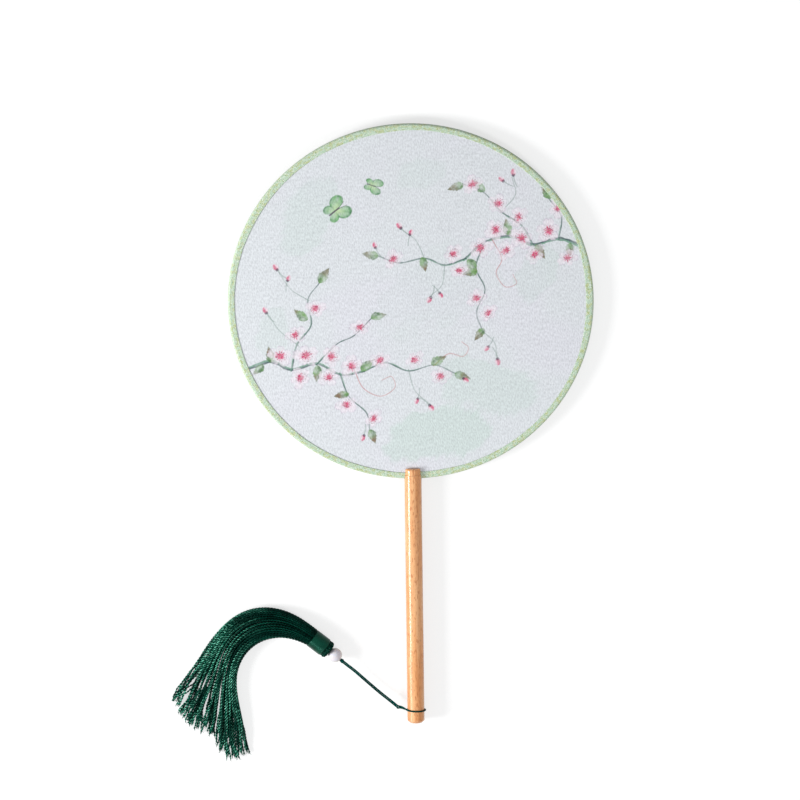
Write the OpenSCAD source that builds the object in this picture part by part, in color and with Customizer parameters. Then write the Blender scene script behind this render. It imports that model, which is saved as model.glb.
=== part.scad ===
// Round silk fan with a turned wooden handle, and a tassel on a doubled cord.
// The fan lies flat: +Z up, +Y from the handle's butt to the disc, origin under the middle of
// the fan on the surface that it lies on. All lengths are in millimetres, all angles in degrees.

/* [Disc] */
// Diameter of the disc over the binding tape
disc_d = 256; // [220:1:300]
// Diameter of the steel wire of the hoop
wire_d = 2.2; // [1.8:0.1:2.6]
// Thickness of each silk leaf
silk_t = 0.25; // [0.15:0.05:0.4]
// Width of the binding tape on each face of the disc
tape_w = 6; // [5:0.5:9]
// Thickness of the brocade binding tape
tape_t = 0.35; // [0.25:0.05:0.6]
// Glue gap between wire, silk and tape
glue_gap = 0.05; // [0.03:0.01:0.08]

/* [Hoop tails in the handle] */
// Length of the two wire ends that stand in the handle
tail_len = 34; // [20:1:60]
// Centreline radius of the bends where the wire turns down into the handle
tail_bend_r = 3.2; // [2.6:0.1:3.6]
// Gap between the two wire ends
tail_gap = 0.1; // [0.05:0.05:0.3]
// Clearance of the wire ends in their bore, all round
tail_clear = 0.05; // [0.03:0.01:0.1]
// How far the bore widens at its mouth, on the radius, for the wire's bends
mouth_flare = 0.9; // [0.8:0.1:1.4]

/* [Handle] */
// Diameter of the handle
handle_d = 12; // [11:0.5:16]
// Length of the handle
handle_len = 184; // [150:1:230]
// How far the slotted top of the handle reaches up over the rim
rim_grip = 7.5; // [7:0.5:10]
// Clearance between the rim and the slot
slot_clear = 0.1; // [0.05:0.05:0.2]
// Length of the turned-down collar at the top
collar_len = 4.3; // [3:0.1:7]
// How far the collar is turned down, on the radius
collar_step = 0.4; // [0.2:0.1:0.8]
// Rounding of the top edge
top_round = 1.2; // [0.6:0.1:2]
// Chamfer of the butt
butt_chamfer = 1.5; // [0.5:0.1:2.5]

/* [Cord] */
// Diameter of one strand of the cord
cord_d = 1.2; // [1:0.1:1.4]
// Gap between the two strands of the doubled cord
strand_gap = 0.1; // [0.05:0.05:0.2]
// Clearance of the cord loop on the handle
loop_clear = 0.12; // [0.08:0.02:0.2]
// Distance of the cord loop from the butt
loop_up = 11; // [8:0.1:40]
// Distance of the hitch knot from the handle's axis
hitch_out = 12.5; // [11.5:0.1:14]
// Diameter of the hitch knot
hitch_d = 3.4; // [3.2:0.1:4]
// Length from the hitch knot's middle to the bead's middle
cord_run = 58; // [56:1:64]
// Direction in which the doubled cord lies, from +X
cord_lie = 139; // [130:1:150]

/* [Bead] */
// Diameter of the pearl bead
bead_d = 10; // [9:0.5:11]
// Diameter of the hole through the bead
bead_bore = 3.1; // [3:0.1:3.4]
// Diameter of the stopper knot in front of the bead
stop_d = 3.4; // [3.2:0.1:4.2]
// Length of the stopper knot
stop_len = 2.8; // [2.4:0.1:3.4]

/* [Tassel] */
// Diameter of the bound head over its winding
head_d = 13.4; // [12.8:0.1:15]
// Direction in which the tassel's head lies, from +X
head_lie = 141; // [130:1:150]
// Diameter over the crown of folded threads
crown_d = 12; // [11:0.1:12.6]
// Thickness of the crown of folded threads
crown_t = 3; // [2.4:0.1:3.4]
// Folded bunches round the crown
crown_folds = 14; // [8:1:20]
// Diameter of the winding thread
wind_d = 0.8; // [0.6:0.05:0.9]
// Distance from one turn of the winding to the next
wind_pitch = 1.25; // [1.25:0.05:1.4]
// Turns of the winding
wind_turns = 9; // [6:1:12]
// Length of the skirt's threads beyond the head
skirt_len = 138; // [90:1:160]
// Turn of the outermost threads as they lie
outer_turn = 95; // [80:1:105]
// Turn of the innermost threads as they lie
inner_turn = 144; // [120:1:150]
// Columns of locks across the skirt
lock_columns = 9; // [5:2:11]
// Narrowest gap between neighbouring locks
lock_gap = 0.16; // [0.1:0.02:0.3]

/* [Hidden] */

$fn = 96;
over = 1; // overrun of every cut

wood = "#eba871";
steel = "#c4c8cc";
silk = "#dcdfe6";
brocade = "#cfdcbf";
thread = "#16403a";
thread_deep = "#0f312c";
pearl = "#e6e4ea";

// Handle and loop
handle_r = handle_d / 2;
cord_r = cord_d / 2;
loop_r = handle_r + loop_clear + cord_r;
loop_foot_share = 0.1; // flat under the loop, as a share of the cord's diameter
axis_z = loop_r + cord_r - loop_foot_share * cord_d;
length = disc_d + handle_len - rim_grip;
butt_y = -length / 2;
disc_y = length / 2 - disc_d / 2;
top_y = butt_y + handle_len;
loop_y = butt_y + loop_up;

// Layers of the disc, outwards from its middle plane
wire_r = wire_d / 2;
disc_r = disc_d / 2;
hoop_r = disc_r - tape_t - glue_gap - wire_r;
leaf_z = wire_r + glue_gap;
tape_z = leaf_z + silk_t + glue_gap;
rim_t = 2 * (tape_z + tape_t);
tape_in_r = disc_r - tape_w;

// The wire's two ends
tail_x = wire_r + tail_gap / 2;
tail_bend_x = tail_x + tail_bend_r;
tail_bend_y = sqrt(pow(hoop_r + tail_bend_r, 2) - pow(tail_bend_x, 2));
tail_turn = acos(tail_bend_x / (hoop_r + tail_bend_r));
bore_r = tail_x + wire_r + tail_clear;
bore_len = tail_len + tail_clear;
mouth_len = tail_bend_y - disc_r; // the part of the bends that is inside the handle

// Doubled cord and bead
strand_off = cord_r + strand_gap / 2;
hitch_r = hitch_d / 2;
hitch_t = 2.6; // height of the hitch knot
swing_gap = 0.15; // between the hitch knot and the strands that swing round it
bead_r = bead_d / 2;
stop_gap = 0.1; // between the stopper knot and the bead
stop_x = cord_run - bead_r - stop_gap - stop_len / 2;
head_r = head_d / 2;
hitch_at = [-hitch_out, loop_y, axis_z];
bead_at = [hitch_at[0] + cord_run * cos(cord_lie), hitch_at[1] + cord_run * sin(cord_lie), head_r];
bead_drop = head_r - axis_z;

// Route of the doubled cord from the hitch: distance along, sideways, height over the hitch
cord_route = [[0, 0, 0], [4, 0.1, -0.5], [9, 0.3, -1.1], [15, 0.5, -1.6], [21, 0.5, -2],
              [27, 0.4, -2.1], [33, 0.2, -2], [38, 0, -1.7], [42, -0.1, -1.2], [46, 0, -0.8]];

// Tassel, from the bead's middle along the head
seat_gap = 0.3; // between the bead and the crown that it nests in
crown_r = crown_t / 2;
crown_ring_r = crown_d / 2 - crown_r;
crown_x = sqrt(pow(bead_r + seat_gap + crown_r, 2) - pow(crown_ring_r, 2));
crown_fold_share = 0.2; // depth of the grooves between folds, as a share of the crown's radius
core_x = crown_x + crown_r + glue_gap;
wind_r = wind_d / 2;
wind_ring_r = head_r - wind_r;
wind_clear = 0.1; // winding to core
core_r = wind_ring_r - wind_r - wind_clear;
groove = 1.2; // bare core between crown and winding
wind_x = core_x + groove + wind_r;
wind_len = wind_pitch * wind_turns;
wind_bend_r = 0.9;
core_len = groove + wind_len + wind_d + groove / 2;
pocket_r = wind_ring_r - wind_bend_r - wind_d;
anchor_d = 4.6;
anchor_len = 3.6;
anchor_x = core_x + anchor_len;
tail_cord_x = bead_r + seat_gap / 2;
skirt_x = core_x + core_len + glue_gap;
root_t = 1.2; // bound slice that the locks grow from
root_sink = 0.5; // locks start this far inside it
root_r = core_r + wind_d / 4;
end_half_height = 2.9; // half thickness of the skirt at its tips

// Where along the skirt its bends lie, as shares of its length
bend_share = 0.67;
inner_lead_share = 0.143;
flatten_from_share = 0.12;
settle_share = 0.2;
tip_gap_share = 0.24; // how far a lock draws in from its neighbours by its tip
tip_short_share = 0.02; // how much shorter than its neighbours a lock may be
lock_mean_share = 0.985; // length of the locks between their longest and shortest
lock_slant_share = 0.08; // how much shorter the innermost lock is than the outermost
lock_wave_share = 0.035; // how far lengths rise and fall across the skirt
lock_wave_width = 0.91; // of one rise and fall, in half widths of the skirt
lock_wave_from = -0.55; // where the longest locks lie
lock_dome_share = 0.14;
edge_inset_share = 0.03;

// Smooth rise from 0 to 1
function ease(x) = let(t = min(1, max(0, x))) t * t * (3 - 2 * t);
function unit(v) = v / norm(v);
function lerp(a, b, t) = a + (b - a) * t;

// One ring of a tube at point i of a path, square to it; ref is never along the path
function tube_ring(path, i, r, sides, ref) =
    let(t = unit(path[min(i + 1, len(path) - 1)] - path[max(i - 1, 0)]),
        a = unit(cross(ref, t)), b = cross(t, a))
    [for (k = [0 : sides - 1]) path[i] + r * (cos(360 * k / sides) * a + sin(360 * k / sides) * b)];

// Triangles of a skin over rings of equal size, with both ends closed
function skin_faces(rings, sides) = concat(
    [for (i = [0 : rings - 2], k = [0 : sides - 1])
        [i * sides + k, (i + 1) * sides + k, i * sides + (k + 1) % sides]],
    [for (i = [0 : rings - 2], k = [0 : sides - 1])
        [(i + 1) * sides + k, (i + 1) * sides + (k + 1) % sides, i * sides + (k + 1) % sides]],
    [for (k = [1 : sides - 2]) [0, k, k + 1]],
    [for (k = [1 : sides - 2]) let(e = (rings - 1) * sides) [e, e + k + 1, e + k]]);

module tube(path, r, sides, ref) {
    rings = [for (i = [0 : len(path) - 1]) tube_ring(path, i, r, sides, ref)];
    polyhedron([for (ring = rings) each ring], skin_faces(len(path), sides));
}

// Turns a child that stands on Z into one that lies along +X
module along_x() {
    rotate([0, 90, 0]) children();
}

module at_hitch() {
    translate(hitch_at) rotate([0, 0, cord_lie]) children();
}

module at_bead(lie) {
    translate(bead_at) rotate([0, 0, lie]) children();
}

// Turned dowel: collar at the top, chamfer at the butt, a slot for the rim and a bore for the wire
module handle() {
    color(wood)
    difference() {
        translate([0, butt_y, axis_z]) rotate([-90, 0, 0]) rotate_extrude() handle_profile();
        translate([-handle_r - over, top_y - rim_grip - slot_clear, axis_z - rim_t / 2 - slot_clear])
            cube([handle_d + 2 * over, rim_grip + slot_clear + over, rim_t + 2 * slot_clear]);
        translate([0, top_y - rim_grip - bore_len, axis_z]) rotate([-90, 0, 0]) {
            cylinder(r = bore_r, h = bore_len);
            translate([0, 0, bore_len - mouth_len])
                cylinder(r1 = bore_r, r2 = bore_r + mouth_flare, h = mouth_len);
        }
    }
}

module handle_profile() {
    collar_r = handle_r - collar_step;
    polygon(concat(
        [[0, 0], [handle_r - butt_chamfer, 0], [handle_r, butt_chamfer],
         [handle_r, handle_len - collar_len - collar_step], [collar_r, handle_len - collar_len]],
        [for (a = [0 : 15 : 90])
            [collar_r - top_round + top_round * cos(a), handle_len - top_round + top_round * sin(a)]],
        [[0, handle_len]]));
}

// Steel wire bent to a circle, its two ends turned down side by side into the handle
module hoop_wire() {
    color(steel) translate([0, disc_y, axis_z]) tube(hoop_path(), wire_r, 10, [0, 0, 1]);
}

// One end of the wire, from its tip up to where it joins the hoop
function hoop_tail(side) = concat([[side * tail_x, -disc_r - tail_len, 0]],
    [for (i = [0 : tail_steps]) let(a = 180 - tail_turn * i / tail_steps)
        [side * (tail_bend_x + tail_bend_r * cos(a)), -tail_bend_y + tail_bend_r * sin(a), 0]]);

hoop_steps = 72;
tail_steps = 6;

function hoop_path() =
    let(half_open = 90 - tail_turn, left = hoop_tail(-1))
    concat(hoop_tail(1),
        [for (i = [1 : hoop_steps - 1]) let(a = lerp(half_open, 360 - half_open, i / hoop_steps))
            hoop_r * [sin(a), -cos(a), 0]],
        [for (i = [len(left) - 1 : -1 : 0]) left[i]]);

module leaf(z) {
    color(silk) translate([0, disc_y, axis_z + z]) cylinder(r = hoop_r, h = silk_t, $fn = 128);
}

module front_leaf() {
    leaf(leaf_z);
}

module back_leaf() {
    leaf(-leaf_z - silk_t);
}

// Brocade tape folded over the edge, with its outer wall cut away where the wire leaves
module rim_binding() {
    inside_z = tape_z;
    cut_x = tail_bend_x + wire_r;
    color(brocade)
    translate([0, disc_y, axis_z])
    difference() {
        rotate_extrude($fn = 128) tape_profile();
        translate([-cut_x, -disc_r - over, -inside_z]) cube([2 * cut_x, over + tape_w / 2, 2 * inside_z]);
    }
}

module tape_profile() {
    half = rim_t / 2;
    fold_r = tape_t + glue_gap + wire_r / 2;
    difference() {
        union() {
            translate([tape_in_r, -half]) square([tape_w - fold_r, rim_t]);
            translate([disc_r - fold_r, -half + fold_r]) square([fold_r, rim_t - 2 * fold_r]);
            for (side = [-1, 1]) translate([disc_r - fold_r, side * (half - fold_r)])
                circle(r = fold_r, $fn = 32);
        }
        translate([tape_in_r - over, -tape_z]) square([over + tape_w - fold_r, 2 * tape_z]);
        translate([disc_r - fold_r - glue_gap, -half + fold_r])
            square([fold_r + glue_gap - tape_t, rim_t - 2 * fold_r]);
        for (side = [-1, 1]) translate([disc_r - fold_r, side * (half - fold_r)])
            circle(r = fold_r - tape_t, $fn = 32);
    }
}

// Closed loop of cord round the handle, drawn together in the hitch knot
module cord_loop() {
    color(thread)
    difference() {
        union() {
            tube(loop_path(), cord_r, 8, [0, 1, 0]);
            translate(hitch_at) hitch_knot();
        }
        translate([-handle_d, loop_y - handle_r, -over]) cube([2 * handle_d, handle_d, over]);
    }
}

loop_open = 42; // half the angle at the hitch that the loop leaves free
loop_steps = 24;
leg_steps = 4;

// Point on the ring round the handle, by its angle from the hitch
function loop_point(a, y) = [-loop_r * cos(a), loop_y + y, axis_z + loop_r * sin(a)];

// Leg from the ring to the knot: a cubic blend that leaves both square
function loop_leg(side) =
    let(a = side * loop_open, y = side * strand_off,
        p0 = loop_point(a, y), p3 = [-hitch_out, loop_y + y, axis_z],
        reach = (hitch_out - loop_r * cos(a)) / 2,
        p1 = p0 - side * reach * [sin(a), 0, cos(a)],
        p2 = p3 + [reach, 0, 0])
    [for (i = [0 : leg_steps - 1]) let(t = i / leg_steps, s = 1 - t)
        s * s * s * p3 + 3 * s * s * t * p2 + 3 * s * t * t * p1 + t * t * t * p0];

function loop_path() =
    let(up = loop_leg(1), down = loop_leg(-1))
    concat(up,
        [for (i = [0 : loop_steps]) let(t = i / loop_steps)
            loop_point(lerp(loop_open, 360 - loop_open, t), lerp(strand_off, -strand_off, t))],
        [for (i = [leg_steps - 1 : -1 : 0]) down[i]]);

module hitch_knot() {
    bulge_r = hitch_t / 4;
    rotate_extrude($fn = 48) {
        for (side = [-1, 1]) translate([hitch_r - bulge_r, side * bulge_r]) circle(r = bulge_r, $fn = 24);
        translate([0, -hitch_t / 2]) square([hitch_r - bulge_r, hitch_t]);
    }
}

// One strand of the doubled cord up to the stopper knot, and its short run through the bead
module cord_strand(side) {
    start = hitch_r + swing_gap;
    stop_face = stop_x - stop_len / 2;
    off = side * strand_off;
    free = concat([[start, off, cord_route[0][2]]],
        [for (i = [1 : len(cord_route) - 1]) cord_route[i] + [0, off, 0]],
        [[stop_face - cord_d, off, bead_drop], [stop_face, off, bead_drop]]);
    color(thread) at_hitch() {
        tube(free, cord_r, 8, [0, 0, 1]);
        tube([[stop_x + stop_len / 2, off, bead_drop], [cord_run + bead_r, off, bead_drop]],
            cord_r, 8, [0, 0, 1]);
    }
}

module cord_strand_left() {
    cord_strand(1);
}

module cord_strand_right() {
    cord_strand(-1);
}

// Two turns of cord drawn tight round the strands
module barrel_knot(d, l) {
    turn_r = l / 4;
    rotate_extrude($fn = 48) {
        for (side = [-1, 1]) translate([d / 2 - turn_r, side * turn_r]) circle(r = turn_r, $fn = 24);
        translate([0, -l / 2]) square([d / 2 - turn_r, l]);
    }
}

module stopper_knot() {
    color(thread) at_hitch() translate([stop_x, 0, bead_drop]) along_x() barrel_knot(stop_d, stop_len);
}

module pearl_bead() {
    color(pearl) at_bead(cord_lie) along_x() rotate_extrude() difference() {
        circle(r = bead_r);
        translate([-bead_r - over, -bead_r - over])
            square([bead_r + over + bead_bore / 2, 2 * (bead_r + over)]);
    }
}

// The cord's two ends between the bead and the knot that holds the tassel
module tassel_cord() {
    color(thread) at_bead(head_lie) for (side = [-1, 1])
        tube([[tail_cord_x, side * strand_off, 0], [core_x, side * strand_off, 0],
              [anchor_x - anchor_len / 2, side * strand_off, 0]], cord_r, 8, [0, 0, 1]);
}

module anchor_knot() {
    color(thread) at_bead(head_lie) translate([anchor_x, 0, 0]) along_x()
        barrel_knot(anchor_d, anchor_len);
}

// Threads folded over the cord: a ring of bunches with grooves between them
module fold_crown() {
    sides = 8;
    rings = 6 * crown_folds;
    points = [for (i = [0 : rings - 1], k = [0 : sides - 1])
        let(a = 360 * i / rings, b = 360 * k / sides,
            r = crown_r * (1 - crown_fold_share * (1 - abs(cos(a * crown_folds / 2)))))
        [crown_x + r * sin(b), (crown_ring_r + r * cos(b)) * cos(a), (crown_ring_r + r * cos(b)) * sin(a)]];
    faces = [for (i = [0 : rings - 1], k = [0 : sides - 1], half = [0, 1])
        let(j = (i + 1) % rings, m = (k + 1) % sides)
        half == 0 ? [i * sides + k, i * sides + m, j * sides + k]
                  : [j * sides + k, i * sides + m, j * sides + m]];
    color(thread) at_bead(head_lie) polyhedron(points, faces);
}

// Bundle of threads under the winding, hollow round the anchor knot
module head_core() {
    turns_end = wind_turns * 360;
    color(thread_deep) at_bead(head_lie) difference() {
        translate([core_x, 0, 0]) along_x() cylinder(r = core_r, h = core_len);
        translate([core_x - over, 0, 0]) along_x()
            cylinder(r = 2 * strand_off + glue_gap, h = over + anchor_len, $fn = 48);
        translate([anchor_x - anchor_len / 2 - glue_gap, 0, 0]) along_x()
            cylinder(d = anchor_d + 2 * glue_gap, h = anchor_len + 2 * glue_gap, $fn = 48);
        wind_pocket(0, wind_x, -1);
        wind_pocket(turns_end, wind_x + wind_len, 1);
    }
}

// Pocket that an end of the winding is tucked into, with its floor square to that end
module wind_pocket(angle, x, side) {
    width = wind_d + 2 * wind_clear;
    reach = wind_bend_r + wind_r + wind_clear;
    rotate([angle, 0, 0]) translate([x - width / 2, side > 0 ? -reach : -wind_clear, pocket_r])
        cube([width, reach + wind_clear, head_r]);
}

// Path of the winding: both ends bend inwards and run straight for one diameter
function wind_point(a) = [wind_x + wind_pitch * a / 360, -wind_ring_r * sin(a), wind_ring_r * cos(a)];

function wind_end(a, side) =
    let(p = wind_point(a), tangent = side * [0, -cos(a), -sin(a)], inward = [0, sin(a), -cos(a)])
    concat([for (b = [18 : 18 : 90]) p + wind_bend_r * (sin(b) * tangent + (1 - cos(b)) * inward)],
        [p + wind_bend_r * tangent + (wind_bend_r + wind_d) * inward]);

wind_rings = 24;

function wind_path() =
    let(first = wind_end(0, -1), final = wind_end(wind_turns * 360, 1))
    concat([for (i = [len(first) - 1 : -1 : 0]) first[i]],
        [for (i = [0 : wind_rings * wind_turns]) wind_point(360 * i / wind_rings)],
        final);

function least_gap(path, apart, d) =
    min([for (i = [0 : len(path) - 1 - apart], j = [i + apart : min(i + 2 * apart, len(path) - 1)])
        norm(path[i] - path[j])]) - d;

module head_winding() {
    color(thread) at_bead(head_lie) tube(wind_path(), wind_r, 6, [1, 0, 0]);
}

// Heading of a thread, from the head's own, at a length along it. edge runs from -1 at the
// outer edge of the curve to 1 at the inner edge.
function thread_heading(edge, l) =
    let(share = (edge + 1) / 2, lead_share = inner_lead_share * share, at = l / skirt_len)
    lerp(outer_turn, inner_turn, share) * ease((at + lead_share) / (bend_share + lead_share));

lock_rings = 17;

// Plan of a thread of a given length: its steps added up
function thread_path(edge, l) =
    let(step = l / (lock_rings - 1))
    [for (i = 0, p = [skirt_x + root_t - root_sink, root_r * edge]; i < lock_rings;
          p = p + step * [cos(thread_heading(edge, (i + 0.5) * step)),
                          sin(thread_heading(edge, (i + 0.5) * step))], i = i + 1) p];

// Half the skirt's height and the height of its middle over the surface, at a share of its length
function half_height(at) =
    lerp(root_r, end_half_height, ease((at - flatten_from_share) / (1 - flatten_from_share)));
function middle_z(at) = half_height(at) + (head_r - root_r) * (1 - ease(at / settle_share)) - head_r;

// Outline of a lock in the unit disc: layer 0 spans it, 1 is its upper and -1 its lower half
function lock_outline(from, to, layer) =
    let(top = [for (i = [0 : 3]) let(x = i / 3, u = lerp(from, to, x))
            [u, sqrt(1 - u * u) * (1 - lock_dome_share * pow(2 * x - 1, 2))]],
        split = lock_gap / root_r / 2)
    layer > 0 ? concat([[from, split], [to, split]], [for (i = [3 : -1 : 0]) top[i]])
    : layer < 0 ? concat([for (i = [0 : 3]) [top[i][0], -top[i][1]]], [[to, -split], [from, -split]])
    : concat([for (i = [0 : 3]) [top[i][0], -top[i][1]]], [for (i = [3 : -1 : 0]) top[i]]);

function middle(points) = [for (a = [0, 1]) [for (p = points) p[a]] * [for (p = points) 1]] / len(points);

module lock(outline, number) {
    sides = len(outline);
    centre = middle(outline);
    l = skirt_len * (lock_mean_share - tip_short_share * (1 + sin(137 * number)) / 2
        - lock_slant_share * centre[0] / 2
        + lock_wave_share * cos(360 * (centre[0] - lock_wave_from) / lock_wave_width));
    rings = [for (i = [0 : lock_rings - 1])
        let(at = i / (lock_rings - 1), draw = 1 - tip_gap_share * ease(at))
        [for (p = outline) centre + draw * (p - centre)]];
    points = [for (i = [0 : lock_rings - 1]) let(at = i / (lock_rings - 1) * l / skirt_len)
        each [for (p = rings[i]) let(plan = thread_path(p[0], l)[i])
            [plan[0], plan[1], middle_z(at) + p[1] * half_height(at)]]];
    polyhedron(points, skin_faces(lock_rings, sides));
}

// Locks of thread side by side in columns, two deep but for the edge columns, bound at the root
module skirt() {
    width = 2 * (1 - edge_inset_share) / lock_columns;
    half_gap = lock_gap / root_r / 2;
    color(thread) at_bead(head_lie) {
        translate([skirt_x, 0, 0]) along_x() cylinder(r = root_r, h = root_t);
        for (i = [0 : lock_columns - 1]) {
            from = -1 + edge_inset_share + i * width + half_gap;
            to = from + width - 2 * half_gap;
            if (i == 0 || i == lock_columns - 1) lock(lock_outline(from, to, 0), i);
            else for (layer = [-1, 1]) lock(lock_outline(from, to, layer), i + layer * lock_columns);
        }
    }
}

echo(str("Head winding, least gap to itself: ", least_gap(wind_path(), wind_rings / 2, wind_d), " mm"));
echo(str("Doubled cord, hitch to bead: ", cord_run, " mm; fan length: ", length, " mm"));

handle();
hoop_wire();
front_leaf();
back_leaf();
rim_binding();
cord_loop();
cord_strand_left();
cord_strand_right();
stopper_knot();
pearl_bead();
tassel_cord();
anchor_knot();
fold_crown();
head_core();
head_winding();
skirt();
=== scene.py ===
"""Round silk fan with a pearl bead and a thread tassel: its soft pieces and its finishes.

Everything is in metres and in the fan's own frame: +Z up out of the painted face, +Y from the
handle's butt to the disc, origin under the middle of the fan on the surface that it lies on.
Shapes that the parametric model also holds repeat its sizes, given here in millimetres and
turned into metres where a mesh is made.
"""

import logging
import math
from dataclasses import dataclass, field
from enum import Enum, IntEnum
from typing import Callable, Sequence

import bpy
import numpy as np
from mathutils import Matrix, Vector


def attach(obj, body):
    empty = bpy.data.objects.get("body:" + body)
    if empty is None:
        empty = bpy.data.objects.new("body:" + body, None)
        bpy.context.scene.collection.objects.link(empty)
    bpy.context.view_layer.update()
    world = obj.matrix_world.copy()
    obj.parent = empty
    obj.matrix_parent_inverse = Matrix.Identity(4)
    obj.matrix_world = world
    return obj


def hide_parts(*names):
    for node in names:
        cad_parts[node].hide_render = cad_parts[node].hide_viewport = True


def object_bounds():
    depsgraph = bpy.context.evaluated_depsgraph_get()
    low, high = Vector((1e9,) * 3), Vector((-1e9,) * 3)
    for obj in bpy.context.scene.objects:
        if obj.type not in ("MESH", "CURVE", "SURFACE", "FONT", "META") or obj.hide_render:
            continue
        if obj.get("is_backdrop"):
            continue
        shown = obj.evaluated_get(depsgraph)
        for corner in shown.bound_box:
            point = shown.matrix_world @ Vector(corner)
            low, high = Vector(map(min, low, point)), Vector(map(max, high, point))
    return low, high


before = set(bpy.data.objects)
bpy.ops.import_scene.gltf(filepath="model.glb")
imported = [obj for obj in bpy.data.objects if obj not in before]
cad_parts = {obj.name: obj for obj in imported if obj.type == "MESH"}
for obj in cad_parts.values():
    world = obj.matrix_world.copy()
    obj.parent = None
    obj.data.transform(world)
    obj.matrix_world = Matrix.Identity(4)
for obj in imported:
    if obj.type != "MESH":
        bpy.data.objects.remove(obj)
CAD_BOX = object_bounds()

Array = np.ndarray
Colour = tuple[float, float, float]
Detail = Callable[[Array, Array, float], Array] | None
Rows = tuple[tuple[float, ...], ...]
Piece = bpy.types.Object
Material = bpy.types.Material
Socket = bpy.types.NodeSocket

MM = 0.001
OWN_STRETCH = 61.7  # millimetres between the surface coordinates of neighbouring cords
CORNER = 1.4  # a square's corner over half its side, both from the middle, rounded
LOG = logging.getLogger("round_fan")


class Slot(Enum):
    """Material slots of the record."""

    WOOD = "handle_wood"
    STEEL = "hoop_steel"
    FRONT_SILK = "front_silk"
    BACK_SILK = "back_silk"
    BROCADE = "binding_brocade"
    CORD = "cord_thread"
    TASSEL = "tassel_thread"
    WINDING = "winding_thread"
    PEARL = "pearl"


class Face(Enum):
    """Side of the disc: the sign of its distance from the middle plane."""

    FRONT = 1
    BACK = -1


class Seed(IntEnum):
    """Starts of the random draws, one for each use."""

    MIST = 5
    THREADS = 11
    THREAD_SWAY = 12
    THREAD_TREMBLE = 13
    THREAD_PHASE = 14
    FIBRES = 16
    CROWN = 23
    WINDING = 31
    STRETCHED_SILK = 41
    PUCKERS = 51
    BROAD_PUCKERS = 52
    TAPE_EDGE = 53
    PAINT = 77


# Shapes worked out as arrays


def ease(x: Array | float) -> Array:
    """Smooth rise from 0 to 1: three t squared less two t cubed, t being x held to 0..1."""
    t = np.clip(x, 0.0, 1.0)
    return t * t * (3 - 2 * t)


def mix(a: Array | float, b: Array | float, t: Array | float) -> Array:
    """The value a share t of the way from a to b."""
    return a + (b - a) * t


def bell(x: Array, width: float) -> Array:
    """Bell curve that is 1 at 0: e to the minus square of x over the width."""
    return np.exp(-((x / width) ** 2))


def unit(v: Array) -> Array:
    """Vectors of length one along the last axis."""
    return v / np.maximum(np.linalg.norm(v, axis=-1, keepdims=True), 1e-12)


def turned(points: Array, degrees: float) -> Array:
    """Points turned about Z by an angle: the plane rotation, with heights kept.

    Args:
        points: Points, with the coordinates last.
        degrees: Angle, positive from X to Y.

    Returns:
        The turned points.
    """
    a = math.radians(degrees)
    x, y, z = np.moveaxis(points, -1, 0)
    return np.stack([x * math.cos(a) - y * math.sin(a), x * math.sin(a) + y * math.cos(a), z], -1)


def smooth_path(knots: Array, spacing: float) -> Array:
    """Points at even spacing on the smooth curve through given knots.

    Between two knots the curve is the cubic whose ends lean along the line between their
    neighbours. It is then laid out again by its length.

    Args:
        knots: Points that the curve passes through, one a row.
        spacing: Distance between the points of the result.

    Returns:
        Points of the curve, one a row.
    """
    ends = np.vstack([2 * knots[0] - knots[1], knots, 2 * knots[-1] - knots[-2]])
    lean = (ends[2:] - ends[:-2]) / 2
    t = np.linspace(0, 1, 24, endpoint=False)[:, None, None]
    a, b, la, lb = knots[:-1], knots[1:], lean[:-1], lean[1:]
    curve = (
        (2 * t**3 - 3 * t**2 + 1) * a
        + (t**3 - 2 * t**2 + t) * la
        + (3 * t**2 - 2 * t**3) * b
        + (t**3 - t**2) * lb
    )
    fine = np.vstack([curve.transpose(1, 0, 2).reshape(-1, knots.shape[1]), knots[-1:]])
    return relaid(fine, spacing)


def relaid(path: Array, spacing: float) -> Array:
    """The same line with its points at even spacing along it.

    Args:
        path: Points of a line, one a row.
        spacing: Wanted distance between points.

    Returns:
        Points by linear interpolation at equal shares of the line's length.
    """
    along = np.concatenate([[0.0], np.cumsum(np.linalg.norm(np.diff(path, axis=0), axis=1))])
    at = np.linspace(0, along[-1], max(2, round(along[-1] / spacing) + 1))
    return np.stack([np.interp(at, along, path[:, k]) for k in range(path.shape[1])], axis=1)


@dataclass(frozen=True)
class LatticeNoise:
    """Smooth random field in the plane: values on a lattice, blended with a smooth rise."""

    seed: int
    size: int = 61

    def at(self, x: Array, y: Array) -> Array:
        """The field from -1 to 1 at points given in cells of the lattice.

        Args:
            x: Places across, in cells.
            y: Places along, in cells.

        Returns:
            The field's values.
        """
        table = np.random.default_rng(self.seed).uniform(-1, 1, (self.size, self.size))
        i, j = np.floor(x).astype(int), np.floor(y).astype(int)
        u, v = ease(x - i), ease(y - j)
        i0, j0 = i % self.size, j % self.size
        i1, j1 = (i0 + 1) % self.size, (j0 + 1) % self.size
        return mix(mix(table[i0, j0], table[i1, j0], u), mix(table[i0, j1], table[i1, j1], u), v)

    def layered(self, x: Array, y: Array, layers: int = 3) -> Array:
        """Sum of the field at doubled frequencies and halved weights, scaled to -1..1."""
        total = sum(self.at(x * 2**k + 17 * k, y * 2**k - 9 * k) / 2**k for k in range(layers))
        return total / (2 - 2.0 ** (1 - layers))


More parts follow.
